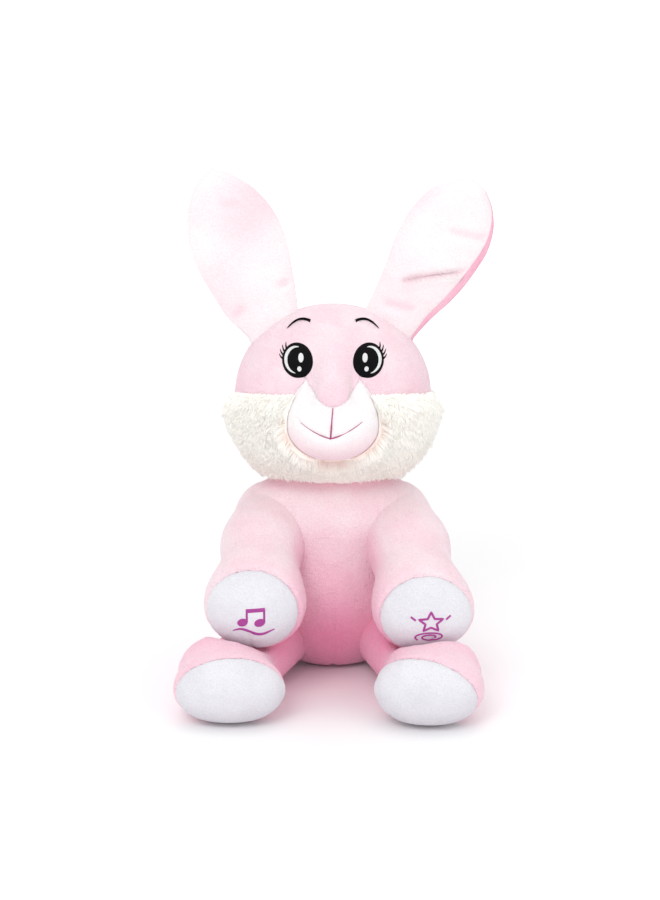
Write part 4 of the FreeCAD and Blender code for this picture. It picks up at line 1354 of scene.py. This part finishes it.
def star_strokes(thread, surface):
    """A five-pointed star outline between two sparks, over a swirl."""
    x, z = ARMS["left"]["mark"]
    top = z + 4.5
    corners = []
    for step in range(11):
        radius = 7.2 if step % 2 == 0 else 3.3
        angle = math.pi / 2 + step * math.pi / 5
        corners.append((x + 1.2 * radius * math.cos(angle), top + radius * math.sin(angle)))
    sides = [np.linspace(start, end, 7)[:-1] for start, end in zip(corners, corners[1:])]
    line = np.concatenate([*sides, corners[:1]])
    strokes = [satin("star", line, 1.8, 0.55, thread, surface)]
    for side in SIDES.values():
        spark = np.linspace((x + side * 10.2, top + 1.5), (x + side * 13.4, top + 3.9), 10)
        strokes.append(satin("spark", spark, 1.7, 0.5, thread, surface))
    t = np.linspace(0, 1, 60)
    angle = 2 * math.pi * 1.7 * t - 0.6
    radius = 2.6 + 6.6 * t
    swirl = np.stack([x + 1.15 * radius * np.cos(angle), z - 6.2 + 0.42 * radius * np.sin(angle)], axis=1)
    strokes.append(satin("swirl", swirl, 1.5, 0.5, thread, surface))
    return strokes


# ---------------------------------------------------------------- legs and feet

LEGS = {
    "right": {
        "foot": np.array((-68.5, -136, 23.0)), "radii": (38.0, 24, 24.5),
        "facing": (0.10, -1.0, -0.10), "seam_at": 3.0,
    },
    "left": {
        "foot": np.array((63.5, -141, 24.5)), "radii": (37.0, 24, 26.0),
        "facing": (-0.38, -1.0, -0.42), "seam_at": 0.0,
    },
}
HIP = (37, -18, 24)


def leg_line(side_name):
    """The hip and the middle of the foot."""
    return on_side(HIP, side_name), LEGS[side_name]["foot"]


def leg_field(side_name):
    """The leg as a field, clear of the arm above it, and the place that it is wrapped from."""
    side = SIDES[side_name]
    hip, foot = leg_line(side_name)
    ankle = foot + (-3 * side, 30, 1)
    arm, _ = arm_field(side_name)

    def field(points):
        limb = tapered(points, hip, ankle, 24, 25)
        end = ellipsoid(points, foot, LEGS[side_name]["radii"])
        heel = ellipsoid(points, foot + (5 * side, 22, 3), (31, 26, 26.5))
        whole = join(join(limb, end, 14), heel, 8)
        whole = keep(whole, 2.5 - arm(points), 5)
        return keep(whole, 0.6 - points[:, 2], 6)

    return field, (hip + foot) / 2 + (0, -14, 0)


def sole_seam(side_name):
    """Negative on the sole's side of the seam round the foot."""
    leg = LEGS[side_name]
    facing = unit(leg["facing"])

    def seam(points):
        return leg["seam_at"] - (points - leg["foot"]) @ facing
    return seam


def leg_painted_shade(side_name):
    """Painted shade: deeper pink towards the hip, on the inner side and low down."""
    foot = LEGS[side_name]["foot"]

    def painted_shade_and_tint(points):
        x, y, z = points.T
        tucked = clamp((y - foot[1]) / 45)
        inner = clamp(-SIDES[side_name] * (x - foot[0]) / 40)
        low = clamp((20 - z) / 20)
        return clamp(0.2 + 0.6 * tucked + 0.25 * inner + 0.3 * low)
    return painted_shade_and_tint


def sole_painted_shade(points):
    """The lower part of the sole has painted shade."""
    return clamp((30 - points[:, 2]) / 40) * 0.7


def make_leg(side_name):
    """A leg from the torso to the foot, and the sole."""
    field, middle = leg_field(side_name)
    seam = sole_seam(side_name)
    points, faces = swell(*wrap(field, middle), seam, 2.0)
    points[:, 2] = np.maximum(points[:, 2], 0.3)
    points = seam_groove(points, faces, seam, 1.3, 1.7)
    sole, sleeve = cut(points, faces, seam)
    hip, foot = leg_line(side_name)
    body = "leg_" + side_name + "_body"
    piece = cover("leg_" + side_name + "_cover", *sleeve, middle,
                  "pink_plush", leg_painted_shade(side_name))
    settle_across(piece, hip,
                  ["leg_" + side_name])
    piece = cover("sole_" + side_name + "_cover", *sole, foot, "white_pad", sole_painted_shade)
    settle(piece, body, ["foot_sole_" + side_name])


# ---------------------------------------------------------------- the parts that CAD keeps

# Colour, roughness and how metallic.
HARD_LOOKS = {
    "ivory_plastic": ((0.80, 0.76, 0.66), 0.45, 0),
    "black_plastic": ((0.02, 0.02, 0.022), 0.4, 0),
    "white_gear_plastic": ((0.82, 0.82, 0.80), 0.35, 0),
    "bright_steel": ((0.62, 0.63, 0.65), 0.28, 1),
    "bronze_bush": ((0.55, 0.34, 0.13), 0.35, 1),
    "cell_wrap": ((0.05, 0.16, 0.34), 0.3, 0),
    "green_board": ((0.02, 0.20, 0.07), 0.4, 0),
    "speaker_paper": ((0.10, 0.10, 0.105), 0.85, 0),
    "lead_rubber": ((0.25, 0.02, 0.02), 0.55, 0),
}


def finish_hard_parts():
    """Gives every part that isn't replaced the material of its slot."""
    looks = {name: hard_material(name, *look) for name, look in HARD_LOOKS.items()}
    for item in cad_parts.values():
        look = looks.get(item.data.materials[0].name.split(".")[0])
        if look is not None:
            item.data.materials[0] = look


# ---------------------------------------------------------------- the whole toy

add_camera()
light_scene()
add_stage()
make_head()
make_mouth()
make_brows()
make_fur_base()
make_cheek_fur()
make_torso()
make_tail()
for name in SIDES:
    make_eye(name)
    make_ear(name)
    make_arm(name)
    make_leg(name)
finish_hard_parts()
